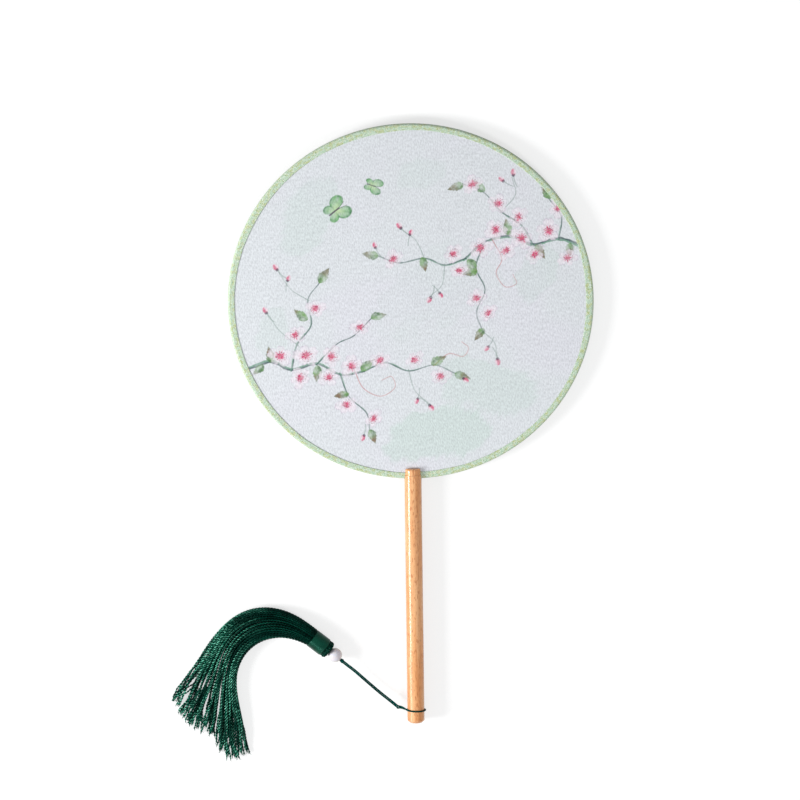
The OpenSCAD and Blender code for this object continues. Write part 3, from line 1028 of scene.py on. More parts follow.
@dataclass(frozen=True)
class DoubledCord:
    """Loop round the handle, hitch knot, two free strands and the stopper knot at the bead."""

    plan: FanPlan
    section: PliedSection = PliedSection(plies=3, ply_offset=0.19, ply_radius=0.41, points=18, lay=3.6)
    strand_offset: float = 0.56
    sag: float = 2.3
    loop_radius: float = 6.62
    loop_open: float = 42.0
    knot_start: float = 0.8
    stop_at: float = 51.5
    stop_length: float = 2.8
    bead_at: float = 57.0
    end_at: float = 62.8
    spacing: float = 0.32
    real_length: float = 61.7
    real_diameter: float = 1.2
    route: tuple[tuple[float, float, float], ...] = (
        (4, 0.1, -0.5),
        (9, 0.3, -1.1),
        (15, 0.5, -1.6),
        (21, 0.5, -2.0),
        (27, 0.4, -2.1),
        (33, 0.2, -2.0),
        (38, 0.0, -1.7),
        (42, -0.1, -1.2),
        (46, 0.0, -0.8),
    )

    def strand_path(self, side: int) -> Array:
        """Centreline of one strand from the hitch, down, along and up to the bead's far side.

        Args:
            side: Sign in Y of the strand.

        Returns:
            Points in millimetres.
        """
        drop = self.plan.head_radius - self.plan.axis_z
        near = np.array([[self.knot_start, 0.0, 0.0], *self.route])
        half = self.stop_length / 2
        stops = (self.stop_at - half, self.stop_at + half, self.bead_at, self.end_at)
        far = np.array([[x, 0, drop] for x in stops])
        line = smooth_path(np.vstack([near, far]), self.spacing)
        return line + [0, side * self.strand_offset, 0]

    def strands(self, thread: Material) -> list[tuple[Piece, Array]]:
        """Both strands of the doubled cord, as plied tubes that ride with the cord.

        Args:
            thread: Their finish.

        Returns:
            Each piece and its centreline in metres, the left one first.
        """
        made = []
        for name, side in (("left", 1), ("right", -1)):
            path = self.plan.from_hitch(self.strand_path(side))
            surface = Surface()
            swept(surface, path[None], self.section, (0, 0, 1), phase=side * 0.6)
            piece = surface.piece(f"cord_{name}", thread)
            made.append((settled(piece, "cord", f"cord_strand_{name}", Slot.CORD), path * MM))
        return made

    def stopper(self, thread: Material) -> Piece:
        """Two and a half turns drawn tight round the strands in front of the bead.

        Args:
            thread: Finish of the cord.

        Returns:
            The knot.
        """
        drop = self.plan.head_radius - self.plan.axis_z
        section = PliedSection(plies=3, ply_offset=0.18, ply_radius=0.36, points=18, lay=3.0)
        line = coil(0.98, self.stop_length - 1.1, 2.4, 0.2, 0.22) + [self.stop_at, 0, drop]
        surface = Surface()
        swept(surface, self.plan.from_hitch(line)[None], section, self.plan_axis())
        return settled(surface.piece("stopper_knot_turns", thread), "cord", "stopper_knot", Slot.CORD)

    def plan_axis(self) -> Array:
        """Direction in which the doubled cord lies."""
        a = math.radians(self.plan.cord_lie)
        return np.array([math.cos(a), math.sin(a), 0.0])

    def ring_point(self, angle: Array, along: Array) -> Array:
        """Points of the ring round the handle, which hangs back from the hitch.

        Args:
            angle: Angles from the hitch, in degrees.
            along: Distances along the handle.

        Returns:
            Points in millimetres.
        """
        a = np.radians(angle)
        y = self.plan.loop_y - self.sag + along
        x, z = -self.loop_radius * np.cos(a), self.plan.axis_z + self.loop_radius * np.sin(a)
        return np.stack([x, y, z], -1)

    def leg(self, side: int) -> Array:
        """A leg from the knot to the ring: the cubic whose ends lie along the knot's and ring's.

        Args:
            side: Sign in Y of the leg.

        Returns:
            Points from the knot to the ring.
        """
        angle, along = side * self.loop_open, side * self.strand_offset
        a = math.radians(angle)
        start = self.ring_point(np.array(angle), np.array(along))
        end = np.array([-self.plan.hitch_out, self.plan.loop_y + along, self.plan.axis_z])
        reach = (self.plan.hitch_out - self.loop_radius * math.cos(a)) / 2
        first = start - side * reach * np.array([math.sin(a), 0, math.cos(a)])
        second = end + [reach, 0, 0]
        t = np.linspace(0, 1, 24, endpoint=False)[:, None]
        s = 1 - t
        return s**3 * end + 3 * s * s * t * second + 3 * s * t * t * first + t**3 * start

    def loop(self, thread: Material) -> Piece:
        """Cord round the handle with both legs, and the hitch knot that draws them together.

        Args:
            thread: Finish of the cord.

        Returns:
            The loop with its knot.
        """
        t = np.linspace(0, 1, 140)
        angle = mix(self.loop_open, 360 - self.loop_open, t)
        ring = self.ring_point(angle, mix(self.strand_offset, -self.strand_offset, t))
        line = relaid(np.vstack([self.leg(1), ring, self.leg(-1)[::-1]]), self.spacing)
        surface = Surface()
        swept(surface, line[None], self.section, (0, 1, 0), lowest=0.0)
        knot = coil(0.8, 1.5, 2.6, 0.6, 0.2)[:, [2, 1, 0]] + self.plan.hitch
        swept(surface, knot[None], PliedSection(3, 0.18, 0.38, 18, 3.0), (0, 0, 1))
        return settled(surface.piece("cord_loop_and_hitch", thread), "loop", "cord_loop", Slot.CORD)


@dataclass(frozen=True)
class ThreadSkirt:
    """Twisted threads of the skirt: where each one lies, and the fibres that fray from its end.

    A thread is known by its place in the head's round section, u across and v up, both from -1
    to 1. Threads keep together in locks, which draw in towards their tips.
    """

    plan: FanPlan
    section: PliedSection = PliedSection(plies=2, ply_offset=0.27, ply_radius=0.3, points=12, lay=4.4)
    rings: int = 6
    length: float = 138.0
    start: float = 21.25
    root_radius: float = 6.0
    end_half_height: float = 2.9
    columns: int = 9
    draw_in: float = 0.25
    edge_reach: float = 1.15
    fibres_per_end: int = 7
    lead_in: float = 2.2
    spacing: float = 0.4
    groups: int = 6

    def places(self) -> Array:
        """Threads in the head's section: one in the middle, then rings of 6, 12, 18 and so on.

        Returns:
            Ring places across and up, one row for each thread.
        """
        ring = np.repeat(np.arange(self.rings + 1), np.maximum(1, 6 * np.arange(self.rings + 1)))
        first = np.maximum(0, 3 * ring * (ring - 1) + 1)
        number = np.arange(len(ring)) - np.where(ring > 0, first, 0)
        angle = 2 * np.pi * (number + 0.5 * (ring % 2)) / np.maximum(1, 6 * ring)
        reach = ring / (self.rings + 0.1)
        return np.stack([reach * np.cos(angle), reach * np.sin(angle)], axis=1)

    def heading(self, edge: Array, at: Array) -> Array:
        """Direction of a thread in degrees from the head's own, at a share of the length.

        The turn grows from the outer to the inner edge and is spread along the thread by a
        smooth rise, which starts sooner at the inner edge.

        Args:
            edge: Place across the skirt, -1 at the outside of the curve and 1 at its inside.
            at: Share of the skirt's length.

        Returns:
            Directions in degrees.
        """
        share = (edge + 1) / 2
        lead = 0.143 * share
        return mix(95, 144, share) * ease((at + lead) / (0.67 + lead))

    def plan_table(self, edges: int, steps: int) -> Array:
        """Plans of evenly placed threads: running sums of steps along their headings.

        Args:
            edges: Number of threads from one edge of the skirt to the other.
            steps: Number of points along each.

        Returns:
            Places across and along in the plan, by thread and point.
        """
        edge = np.linspace(-self.edge_reach, self.edge_reach, edges)[:, None]
        at = (np.arange(steps - 1)[None, :] + 0.5) / (steps - 1)
        angle = np.radians(self.heading(np.clip(edge, -1, 1), at))
        step = self.length / (steps - 1)
        moves = np.stack([np.cos(angle), np.sin(angle)], -1) * step
        first = np.stack([np.full(edges, self.start), self.root_radius * edge[:, 0]], -1)[:, None]
        return np.concatenate([first, first + np.cumsum(moves, axis=1)], axis=1)

    def read_plan(self, table: Array, edge: Array, at: Array) -> Array:
        """Plan places between the table's rows and steps, by weighting the four around them.

        Args:
            table: Places in the plan, by thread and point.
            edge: Where to read across the skirt, -1 and 1 being its edges.
            at: Where to read along the threads, as a share of their length.

        Returns:
            Places across and along in the plan.
        """
        rows, steps, _ = table.shape
        e = np.clip((edge + self.edge_reach) / (2 * self.edge_reach), 0, 1) * (rows - 1.001)
        s = np.clip(at, 0, 1) * (steps - 1.001)
        i, j = e.astype(int), s.astype(int)
        u, v = (e - i)[..., None], (s - j)[..., None]
        return mix(mix(table[i, j], table[i + 1, j], u), mix(table[i, j + 1], table[i + 1, j + 1], u), v)

    def half_height(self, at: Array) -> Array:
        """Half the skirt's height, easing from the head's radius to the thin end."""
        return mix(self.root_radius, self.end_half_height, ease((at - 0.12) / 0.88))

    def locks(self, place: Array) -> tuple[Array, Array]:
        """Shares the threads out to locks, an upper and a lower one in each column.

        Args:
            place: Ring places of the threads.

        Returns:
            Number of each thread's lock, and where the lock's middle is.
        """
        column = np.clip(((place[:, 0] + 1) / 2 * self.columns).astype(int), 0, self.columns - 1)
        middle = (column + 0.5) / self.columns * 2 - 1
        middle = np.where(np.abs(middle) > 0.85, 0.93 * np.sign(middle), middle)
        upper = place[:, 1] > 0
        return column * 2 + upper, np.stack([middle, np.where(upper, 0.45, -0.45)], 1)

    def in_section(self, place: Array, at: Array, pull: Array) -> tuple[Array, Array]:
        """Where threads run in the skirt's section: drawn in to their lock, and swaying with it.

        Args:
            place: Ring places of the threads.
            at: Share of the length at each point, threads by points.
            pull: How strongly each thread is drawn in, from 0 to 1.

        Returns:
            Places across and up, threads by points.
        """
        lock, centre = self.locks(place)
        draw = self.draw_in * (0.5 + pull) * ease((at - 0.62) / 0.38)
        bound = mix(0.9, 1.05, ease(at * self.length / 1.6 + 1)) * (1 - 0.05 * ease(at * 4))
        u = mix(place[:, :1], centre[:, :1], draw) * bound
        v = mix(place[:, 1:], centre[:, 1:], draw * 0.5) * bound
        sway, loose, lane = LatticeNoise(Seed.THREAD_SWAY), self.looseness(at), lock[:, None] * 7.3
        u = u + 0.05 * loose * sway.at(at * 4.2, lane) + 0.04 * loose * sway.at(at * 9, lane + 3)
        u = u + (0.01 + 0.1 * loose**2) * self.tremble(at, 6)
        outermost = 0.97 - 0.12 * ease((at - 0.45) / 0.45) + 0.03 * self.tremble(at, 5)
        return np.clip(u, -1.1, outermost), v

    def tremble(self, at: Array, rate: float, apart: float = 0.0) -> Array:
        """Noise from -1 to 1 along threads, each with its own.

        Args:
            at: Share of the length at each point, threads by points.
            rate: Lattice cells over the whole length.
            apart: Shift across the lattice that gives another noise.

        Returns:
            A value for each point.
        """
        lane = np.arange(len(at))[:, None] * 3.7 + apart
        return LatticeNoise(Seed.THREAD_TREMBLE).at(at * rate, lane)

    def looseness(self, at: Array) -> Array:
        """How free the threads are of the head, from 0 to 1, at a share of the length."""
        return ease((at - 0.22) / 0.78)

    def seen_from_above(self, u: Array, at: Array, own_end: Array, bend: Array) -> Array:
        """Threads in the plan, with ends that hook a little to one side.

        Args:
            u: Places across the section.
            at: Share of the longest thread's length at each point.
            own_end: Share of the thread's own length at each point.
            bend: How far and to which side each end hooks, from -0.5 to 0.5.

        Returns:
            Places along and across, threads by points by two.
        """
        flat = self.read_plan(self.plan_table(93, 265), u, at)
        flat[..., 0] += np.minimum(at, 0) * self.length
        ahead = unit(np.gradient(flat, axis=1))
        aside = np.stack([-ahead[..., 1], ahead[..., 0]], -1)
        hook = bend * 3.2 * ease((own_end - 0.9) / 0.1)
        hook = hook + 0.28 * self.tremble(at, 26, 1) * self.looseness(at)
        return flat + aside * hook[..., None]

    def paths(self) -> tuple[Array, Array]:
        """Centrelines of all threads in the bead's frame, and along each its wear and its share of painted
        glints.

        Returns:
            Points of the shape threads by steps by three, and values threads by steps.
        """
        rng = np.random.default_rng(Seed.THREADS)
        place = self.places()
        lock_number = rng.uniform(size=(2 * self.columns, 4))[self.locks(place)[0]]
        own = rng.uniform(size=(len(place), 6))
        steps = round(self.length / self.spacing)
        wave = np.cos(2 * np.pi * (place[:, 0] + 0.55) / 0.91)
        short = 0.02 + 0.02 * lock_number[:, 0] + 0.045 * own[:, 0] ** 2 + 0.045 * place[:, 0] - 0.035 * wave
        at = np.linspace(-self.lead_in / self.length, 1, steps)[None, :] * (1 - short)[:, None]
        own_end = at / (1 - short)[:, None]
        u, v = self.in_section(place, at, lock_number[:, 1:2])
        flat = self.seen_from_above(u, at, own_end, own[:, 1:2] - 0.5)
        half = self.half_height(at) * (1 - 0.3 * ease((at - 0.75) / 0.25))
        settle = (self.plan.head_radius - self.root_radius) * (1 - ease(at / 0.2))
        z = half * (1 + v) + settle + 0.5 * self.looseness(at) * self.tremble(at, 8, 2)
        z = np.maximum(z, self.section.radius + 0.02) - self.plan.head_radius
        # One half is the share of painted glints, which rises along the thread. The other half is wear at the
        # tip.
        wear_and_glint = 0.5 * ease((at - 0.12) / 0.5) + 0.5 * ease((own_end - 0.96) / 0.04)
        return np.concatenate([flat, z[..., None]], axis=-1), wear_and_glint

    def frayed_fibres(self, ends: Array, ahead: Array) -> Array:
        """Loose fibres that spread from thread ends: straight runs that bow away sideways.

        Args:
            ends: Where they leave the threads, one a row.
            ahead: Direction of the thread there, one a row.

        Returns:
            Paths of the shape fibres by points by three.
        """
        rng = np.random.default_rng(Seed.FIBRES)
        start = np.repeat(ends, self.fibres_per_end, axis=0)
        along = np.repeat(ahead, self.fibres_per_end, axis=0)
        count = len(start)
        spread = rng.normal(size=(count, 3)) * [0.42, 0.42, 0.22]
        length = rng.uniform(0.6, 2.0, (count, 1, 1))
        t = np.linspace(0, 1, 9)[None, :, None]
        curve = along[:, None] * t + spread[:, None] * t**1.7
        inside = rng.normal(size=(count, 1, 3)) * 0.16
        points = start[:, None] + inside + (curve - 0.25 * along[:, None]) * length
        lowest = 0.09 - self.plan.head_radius
        points[..., 2] = np.maximum(points[..., 2], lowest)
        return points

    def build(self, thread: Material) -> list[Piece]:
        """All threads, shared out to pieces across the skirt, and their frayed ends.

        Args:
            thread: Finish of the threads.

        Returns:
            The pieces.
        """
        paths, wear_and_glint = self.paths()
        order = np.argsort(paths[:, 0, 1], kind="stable")
        ahead = unit(paths[:, -1] - paths[:, -8])
        fray = self.plan.from_bead(self.frayed_fibres(paths[:, -1], ahead))
        paths = self.plan.from_bead(paths)
        at = np.linspace(-self.lead_in, self.length, paths.shape[1])
        scale = mix(0.8, 1.2, ease(at / 70))[None, :]
        phase = np.random.default_rng(Seed.THREAD_PHASE).uniform(0, 2 * np.pi, len(paths))
        pieces = []
        for number, group in enumerate(np.array_split(order, self.groups), 1):
            surface = Surface()
            swept(
                surface, paths[group], self.section, (0, 0, 1),
                scale=np.repeat(scale, len(group), axis=0), phase=phase[group], wear_and_glint=wear_and_glint[group], lowest=0.0,
            )
            pieces.append(surface.piece(f"skirt_threads_{number}", thread))
        surface = Surface()
        fibre = PliedSection(plies=1, ply_offset=0.0, ply_radius=0.06, points=4, lay=1e6)
        # Frayed fibres take full wear and the full share of painted glints.
        swept(surface, fray, fibre, (0, 0, 1), wear_and_glint=np.ones(fray.shape[:2]))
        pieces.append(surface.piece("skirt_frayed_ends", thread))
        return [settled(piece, "tassel", "skirt", Slot.TASSEL) for piece in pieces]


@dataclass(frozen=True)
class TasselHead:
    """Crown of threads folded over the cord, the bundle below it and the thread wound round."""

    plan: FanPlan
    folds: int = 25
    fold_x: float = 6.5
    fold_ring: float = 4.4
    fold_arc: float = 1.28
    fold_section: PliedSection = PliedSection(plies=2, ply_offset=0.3, ply_radius=0.34, points=12, lay=3.0)
    core_x: float = 6.65
    core_length: float = 13.85
    core_section: PliedSection = PliedSection(plies=34, ply_offset=5.3, ply_radius=0.5, points=204, lay=1e6)
    wind_x: float = 9.0
    wind_length: float = 11.6
    turns: int = 37
    rows_per_turn: int = 6
    sides: int = 120
    ridge_height: float = 0.11
    end_round: float = 0.75
    end_drop: float = 0.45
    tuck_radius: float = 5.2
    anchor_x: float = 10.25

    def around(self, x: Array, reach: Array, angle: Array) -> Array:
        """Points by the distance along the head, from its axis, and the angle round it."""
        return np.stack(np.broadcast_arrays(x, reach * np.sin(angle), reach * np.cos(angle)), -1)

    def crown(self, thread: Material) -> Piece:
        """Threads that come out along the cord, fold over and run back under the winding.

        Each runs round a small circle in the plane through the head's axis, and then straight
        back. Neighbours lie a little higher or lower, and lean a little round the head.

        Args:
            thread: Finish of the threads.

        Returns:
            The piece.
        """
        rng = np.random.default_rng(Seed.CROWN)
        number = np.arange(self.folds)[:, None]
        lift = 0.07 * np.where(number % 2, 1, -1) + rng.uniform(-0.08, 0.08, (self.folds, 1))
        t = np.radians(np.linspace(335, 62, 26))[None, :]
        arc = self.fold_arc + lift
        x = self.fold_x + arc * np.cos(t) + rng.uniform(-0.2, 0.3, (self.folds, 1))
        reach = self.fold_ring + arc * np.sin(t)
        back = np.linspace(0, 1, 8)[None, 1:]
        x = np.concatenate([x, mix(x[:, -1:], self.wind_x + 0.9, back)], axis=1)
        reach = np.concatenate([reach, mix(reach[:, -1:], 5.6, ease(back))], axis=1)
        lean = rng.uniform(-0.05, 0.05, (self.folds, 1)) + 0.1 * np.linspace(-1, 1, x.shape[1])[None, :]
        angle = 2 * np.pi * number / self.folds + lean
        paths = self.plan.from_bead(self.around(x, reach, angle))
        surface = Surface()
        centre = 2 * np.pi * number[:, 0] / self.folds
        for index in range(self.folds):
            a = centre[index]
            round_head = turned(np.array([[0.0, math.cos(a), -math.sin(a)]]), self.plan.head_lie)[0]
            path = paths[index : index + 1]
            # The crown's folds get a small share of painted glints and no wear.
            wear_and_glint = np.full(path.shape[:2], 0.16)
            swept(surface, path, self.fold_section, round_head, phase=index * 2.4, wear_and_glint=wear_and_glint)
        return self.finished(surface, "crown_folds", thread, "fold_crown")

    def bundle(self, thread: Material) -> Piece:
        """The bundle of threads under the winding, ridged by its outer threads.

        Args:
            thread: Finish of the threads.

        Returns:
            The bundle.
        """
        x = np.linspace(self.core_x, self.core_x + self.core_length, 5)
        path = self.plan.from_bead(self.around(x, np.zeros(5), np.zeros(5)))
        surface = Surface()
        swept(surface, path[None], self.core_section, (0, 0, 1), round_ends=False)
        return self.finished(surface, "head_bundle", thread, "head_core")

    def winding(self, thread: Material) -> Piece:
        """Fine thread wound close: a tube whose radius follows a helix of round ridges.

        The share of a turn at a point is the distance along over the pitch, less the share of
        the way round. A ridge is the root of one less the square of its distance from the
        turn's middle. Both ends round off down to the bundle.

        Args:
            thread: Finish of the winding.

        Returns:
            The piece.
        """
        sides, rows = self.sides, self.turns * self.rows_per_turn + 1
        along = np.linspace(0, self.wind_length, rows)[:, None]
        angle = (np.arange(sides) * 2 * np.pi / sides)[None, :]
        pitch = self.wind_length / self.turns
        part = (along / pitch - angle / (2 * np.pi)) % 1 * 2 - 1
        ridge = self.ridge_height * (np.sqrt(np.maximum(0, 1 - part**2)) - 1)
        uneven = 0.05 * LatticeNoise(Seed.WINDING).layered(along / 1.3, np.abs(angle / np.pi - 1) * 5) - 0.05
        edge = np.minimum(along, self.wind_length - along) / self.end_round
        fall = self.end_drop * (1 - np.sqrt(np.clip(1 - (1 - np.clip(edge, 0, 1)) ** 2, 0, 1)))
        reach = self.plan.head_radius + ridge + uneven - fall
        points = self.plan.from_bead(self.around(self.wind_x + along, reach, angle))
        surface = Surface()
        uv = grid_uv(rows, sides, True, self.wind_length)[..., ::-1]
        uv = uv * [2 * math.pi * self.plan.head_radius, 1 / pitch]
        surface.add(points, grid_faces(rows, sides, True), uv)
        rim = np.arange(sides)
        ends = self.wind_x + np.array([[0.2], [self.wind_length - 0.2]])
        inner = self.around(ends, self.tuck_radius, angle)
        for end, row in ((0, 0), (1, rows - 1)):
            both = np.concatenate([points[row], self.plan.from_bead(inner[end])])
            nxt = (rim + 1) % sides
            quads = np.stack([rim, nxt, nxt + sides, rim + sides], -1)
            surface.add(both, quads if end else quads[:, ::-1])
        return self.finished(surface, "head_wound_thread", thread, "head_winding")

    def inner_cord(self, thread: Material) -> list[Piece]:
        """The cord's two ends inside the head and the knot that they end in.

        Args:
            thread: Finish of the cord.

        Returns:
            The cord's ends and the knot.
        """
        section = PliedSection(plies=3, ply_offset=0.3, ply_radius=0.3, points=12, lay=3.2)
        x = np.linspace(5.2, 8.4, 12)
        ends = np.stack([np.stack([x, np.full(12, y), np.zeros(12)], -1) for y in (-0.65, 0.65)])
        surface = Surface()
        swept(surface, self.plan.from_bead(ends), section, (0, 0, 1))
        cord = self.finished(surface, "cord_ends_in_head", thread, "tassel_cord")
        knot = coil(1.7, 2.4, 3.0, 0.5, 0.3) + [self.anchor_x, 0, 0]
        surface = Surface()
        axis = turned(np.array([[1.0, 0, 0]]), self.plan.head_lie)[0]
        swept(surface, self.plan.from_bead(knot)[None], section, axis)
        return [cord, self.finished(surface, "anchor_knot_turns", thread, "anchor_knot")]

    def finished(self, surface: Surface, name: str, thread: Material, node: str) -> Piece:
        """A piece of the head that rides with the tassel.

        Args:
            surface: Its shape.
            name: Its name.
            thread: Its finish.
            node: Solid that it stands for.

        Returns:
            The piece.
        """
        slots = {"head_winding": Slot.WINDING, "fold_crown": Slot.TASSEL, "head_core": Slot.TASSEL}
        return settled(surface.piece(name, thread), "tassel", node, slots.get(node, Slot.CORD))


@dataclass(frozen=True)
class Palette:
    """Water colours of the painted spray, as they look on the silk."""

    silk: Colour = from_screen(222, 226, 230)
    wash: Colour = from_screen(201, 219, 212)
    mist: Colour = from_screen(226, 223, 234)
    petal: Colour = from_screen(240, 231, 239)
    petal_edge: Colour = from_screen(176, 156, 184)
    blush: Colour = from_screen(230, 142, 176)
    heart: Colour = from_screen(206, 44, 100)
    stamen: Colour = from_screen(120, 28, 68)
    bud: Colour = from_screen(216, 70, 118)
    calyx: Colour = from_screen(66, 44, 70)
    branch: Colour = from_screen(50, 84, 84)
    branch_light: Colour = from_screen(142, 184, 160)
    twig: Colour = from_screen(132, 154, 146)
    tendril: Colour = from_screen(190, 88, 84)
    leaf: Colour = from_screen(116, 162, 88)
    leaf_dark: Colour = from_screen(62, 98, 62)
    leaf_tip: Colour = from_screen(142, 104, 92)
    wing: Colour = from_screen(118, 180, 112)
    wing_pale: Colour = from_screen(206, 226, 184)
    wing_dark: Colour = from_screen(34, 104, 66)


class Kind(Enum):
    """Kinds of painted things, in the order in which they are laid."""

    LEAF = "leaf"
    BUD = "bud"
    BLOSSOM = "blossom"
    BUTTERFLY = "butterfly"


class Brush(Enum):
    """Way in which a stroke is laid."""

    WOODY = "two tones, rough edges"
    TWIG = "one thin pale line"
    TENDRIL = "one thin red line"


@dataclass(frozen=True)
class Motif:
    """One painted thing: what it is, where, how large in millimetres, and its turn in degrees."""

    kind: Kind
    x: float
    y: float
    size: float
    turn: float = 0.0
    squash: float = 1.0


@dataclass(frozen=True)
class Stem:
    """A brush stroke through given points, with its width at both ends."""

    knots: tuple[tuple[float, float], ...]
    first: float
    last: float
    brush: Brush = Brush.WOODY

    def line(self) -> Array:
        """Points along the stroke, 0.8 mm apart."""
        return smooth_path(np.array(self.knots, float), 0.8)


class Painting:
    """Paint laid point by point over silk: every stroke is a soft-edged share of a colour."""

    def __init__(self, x: Array, y: Array, palette: Palette) -> None:
        """Takes the points to be painted.

        Args:
            x: Distance of each point to the right of the disc's middle, in millimetres.
            y: Distance above it.
            palette: Colours.
        """
        self.x, self.y, self.palette = x, y, palette
        self.rgb = np.tile(np.array(palette.silk), (len(x), 1))
        self.grain = LatticeNoise(Seed.PAINT)

    def near(self, x: float, y: float, reach: float) -> Array:
        """Numbers of the points within a square round a place."""
        return np.nonzero((np.abs(self.x - x) < reach) & (np.abs(self.y - y) < reach))[0]

    def lay(self, chosen: Array, share: Array, colour: Colour) -> None:
        """Mixes a colour into chosen points by a share for each."""
        self.rgb[chosen] = mix(self.rgb[chosen], np.array(colour), np.clip(share, 0, 1)[:, None])

    def wash(self, x: float, y: float, size: float, turn: float, squash: float, share: float) -> None:
        """A pool of thin colour with a wandering edge, a little darker where it dried.

        Args:
            x: Place of its middle.
            y: Place of its middle.
            size: Its larger half width.
            turn: Direction of its larger width, in degrees.
            squash: Smaller half width over the larger.
            share: Strength of the colour.
        """
        chosen = self.near(x, y, size * 1.5)
        a = math.radians(turn)
        u, v = self.x[chosen] - x, self.y[chosen] - y
        along, across = u * math.cos(a) + v * math.sin(a), (v * math.cos(a) - u * math.sin(a)) / squash
        shore = self.grain.layered(self.x[chosen] / 14 + size, self.y[chosen] / 14, 4)
        edge = np.hypot(along, across) / size + 0.42 * shore
        dried = bell(1 - edge, 0.07)
        self.lay(chosen, share * ease((1 - edge) / 0.12) * (0.75 + 0.5 * dried), self.palette.wash)

    def stroke(self, stem: Stem) -> None:
        """A tapering stroke: darker below and lighter above where it is a woody branch.

        Args:
            stem: Where it runs and how wide it is.
        """
        line = stem.line()
        middle, reach = (line.min(0) + line.max(0)) / 2, np.ptp(line, axis=0).max() / 2 + 3
        chosen = self.near(middle[0], middle[1], reach)
        points = np.stack([self.x[chosen], self.y[chosen]], -1)
        apart = np.linalg.norm(points[:, None] - line[None], axis=2)
        nearest = apart.argmin(axis=1)
        at = nearest / (len(line) - 1)
        ahead = unit(np.gradient(line, axis=0))[nearest]
        offset = points - line[nearest]
        side = ahead[:, 0] * offset[:, 1] - ahead[:, 1] * offset[:, 0]
        rough = self.grain.layered(at * len(line) / 3.5, np.full(len(at), stem.first * 9), 2)
        woody = stem.brush is Brush.WOODY
        half = mix(stem.first, stem.last, at) / 2 * (1 + 0.4 * rough * woody)
        cover = ease((half + 0.3 - np.abs(side)) / 0.5) * (apart.min(axis=1) < half + 1.0)
        pools = self.grain.layered(at * len(line) / 11 + stem.first, np.full(len(at), stem.last * 31), 2)
        wet = 0.5 + 0.5 * pools
        if not woody:
            paint = self.palette.twig if stem.brush is Brush.TWIG else self.palette.tendril
            self.lay(chosen, (0.45 + 0.4 * wet) * cover, paint)
            return
        self.lay(chosen, np.clip(0.35 + 0.9 * wet, 0, 0.95) * cover, self.palette.branch)
        light = ease((side / np.maximum(half, 0.1) + 0.25) / 0.7) * ease((half - 0.2) / 0.4)
        self.lay(chosen, (0.5 + 0.4 * wet) * cover * light, self.palette.branch_light)

    def local(self, motif: Motif, reach: float) -> tuple[Array, Array, Array]:
        """Points near a motif, and where they lie in its own turned and foreshortened plane.

        Args:
            motif: The painted thing.
            reach: Distance looked at, in sizes of the motif.

        Returns:
            Numbers of the near points, and their places ahead and aside in sizes.
        """
        chosen = self.near(motif.x, motif.y, motif.size * reach)
        a = math.radians(motif.turn)
        u, v = self.x[chosen] - motif.x, self.y[chosen] - motif.y
        ahead, aside = u * math.cos(a) + v * math.sin(a), v * math.cos(a) - u * math.sin(a)
        return chosen, ahead / motif.size, aside / motif.size / motif.squash

    def thinned(self, chosen: Array, width: float, seed: float) -> Array:
        """Share of paint from 0 to 1 that wanders over the silk in pools of a given width."""
        x, y = self.x[chosen] / width + seed, self.y[chosen] / width - seed
        return np.clip(0.5 + 0.8 * self.grain.layered(x, y, 2), 0, 1)

    def blossom(self, motif: Motif) -> None:
        """Five notched petals, hardly paler than the silk, round a ragged crimson heart.

        With p the angle from the nearest petal's middle, the outline's distance is the size
        times 0.7 plus 0.3 cosine of 2.6 p, less a small notch at the middle. Thin paint comes
        and goes over the petals, and a broken line follows their edge.

        Args:
            motif: Place, size, turn and foreshortening of the flower.
        """
        pal = self.palette
        chosen, u, v = self.local(motif, 1.3)
        reach, angle = np.hypot(u, v), np.degrees(np.arctan2(v, u))
        seed = motif.x * 3.1 + motif.y
        petal = np.round(angle / 72)
        p = angle - petal * 72
        uneven = 1 + 0.13 * np.sin(petal * 2.1 + seed) + 0.05 * self.grain.at(angle / 8 + seed, reach * 2)
        outline = (0.7 + 0.3 * np.cos(np.radians(2.6 * p)) - 0.1 * bell(p, 5)) * uneven
        t = reach / outline
        soft = 0.35 / motif.size
        inside = ease((1 - t) / (2 * soft) + 0.5)
        thin = self.thinned(chosen, 3.6, seed)
        self.lay(chosen, (0.3 + 0.5 * thin) * inside, pal.petal)
        rim = bell(t - 0.97, 0.05) + 0.8 * bell(np.abs(p) - 36, 3.2) * (t > 0.3) * inside
        self.lay(chosen, 0.5 * np.clip(rim, 0, 1) * self.thinned(chosen, 2.2, seed + 4), pal.petal_edge)
        streak = 0.5 + 0.5 * np.sin(np.radians(angle * 17 + seed * 40)) * np.sin(np.radians(angle * 7))
        inner = inside * (0.62 - 0.3 * streak) * (0.4 + 0.6 * thin) * ease((0.72 - t) / 0.6)
        self.lay(chosen, inner, pal.blush)
        bent = 60 * np.sin(np.radians(angle * 2 + seed))
        spoke = 0.5 + 0.5 * np.cos(np.radians(angle * 13 + seed * 9 + bent))
        speck = self.thinned(chosen, 0.75, seed + 9)
        ragged = 0.16 * spoke + 0.16 * self.grain.at(angle / 9 + seed, reach * 3) + 0.12 * speck
        self.lay(chosen, (0.62 + 0.36 * speck) * ease((0.26 + ragged - reach) / 0.22), pal.heart)
        self.lay(chosen, 0.35 * ease((0.1 - reach) / 0.08), pal.leaf)
        number = np.arange(17)
        at = np.radians(number * 137.5 + seed * 31)
        far = 0.2 + 0.34 * (0.5 + 0.5 * np.sin(number * 2.4 + seed))
        dots = np.hypot(u[:, None] - far * np.cos(at), v[:, None] - far * np.sin(at)).min(axis=1) * motif.size
        self.lay(chosen, 0.7 * ease((0.46 - dots) / 0.3), pal.stamen)

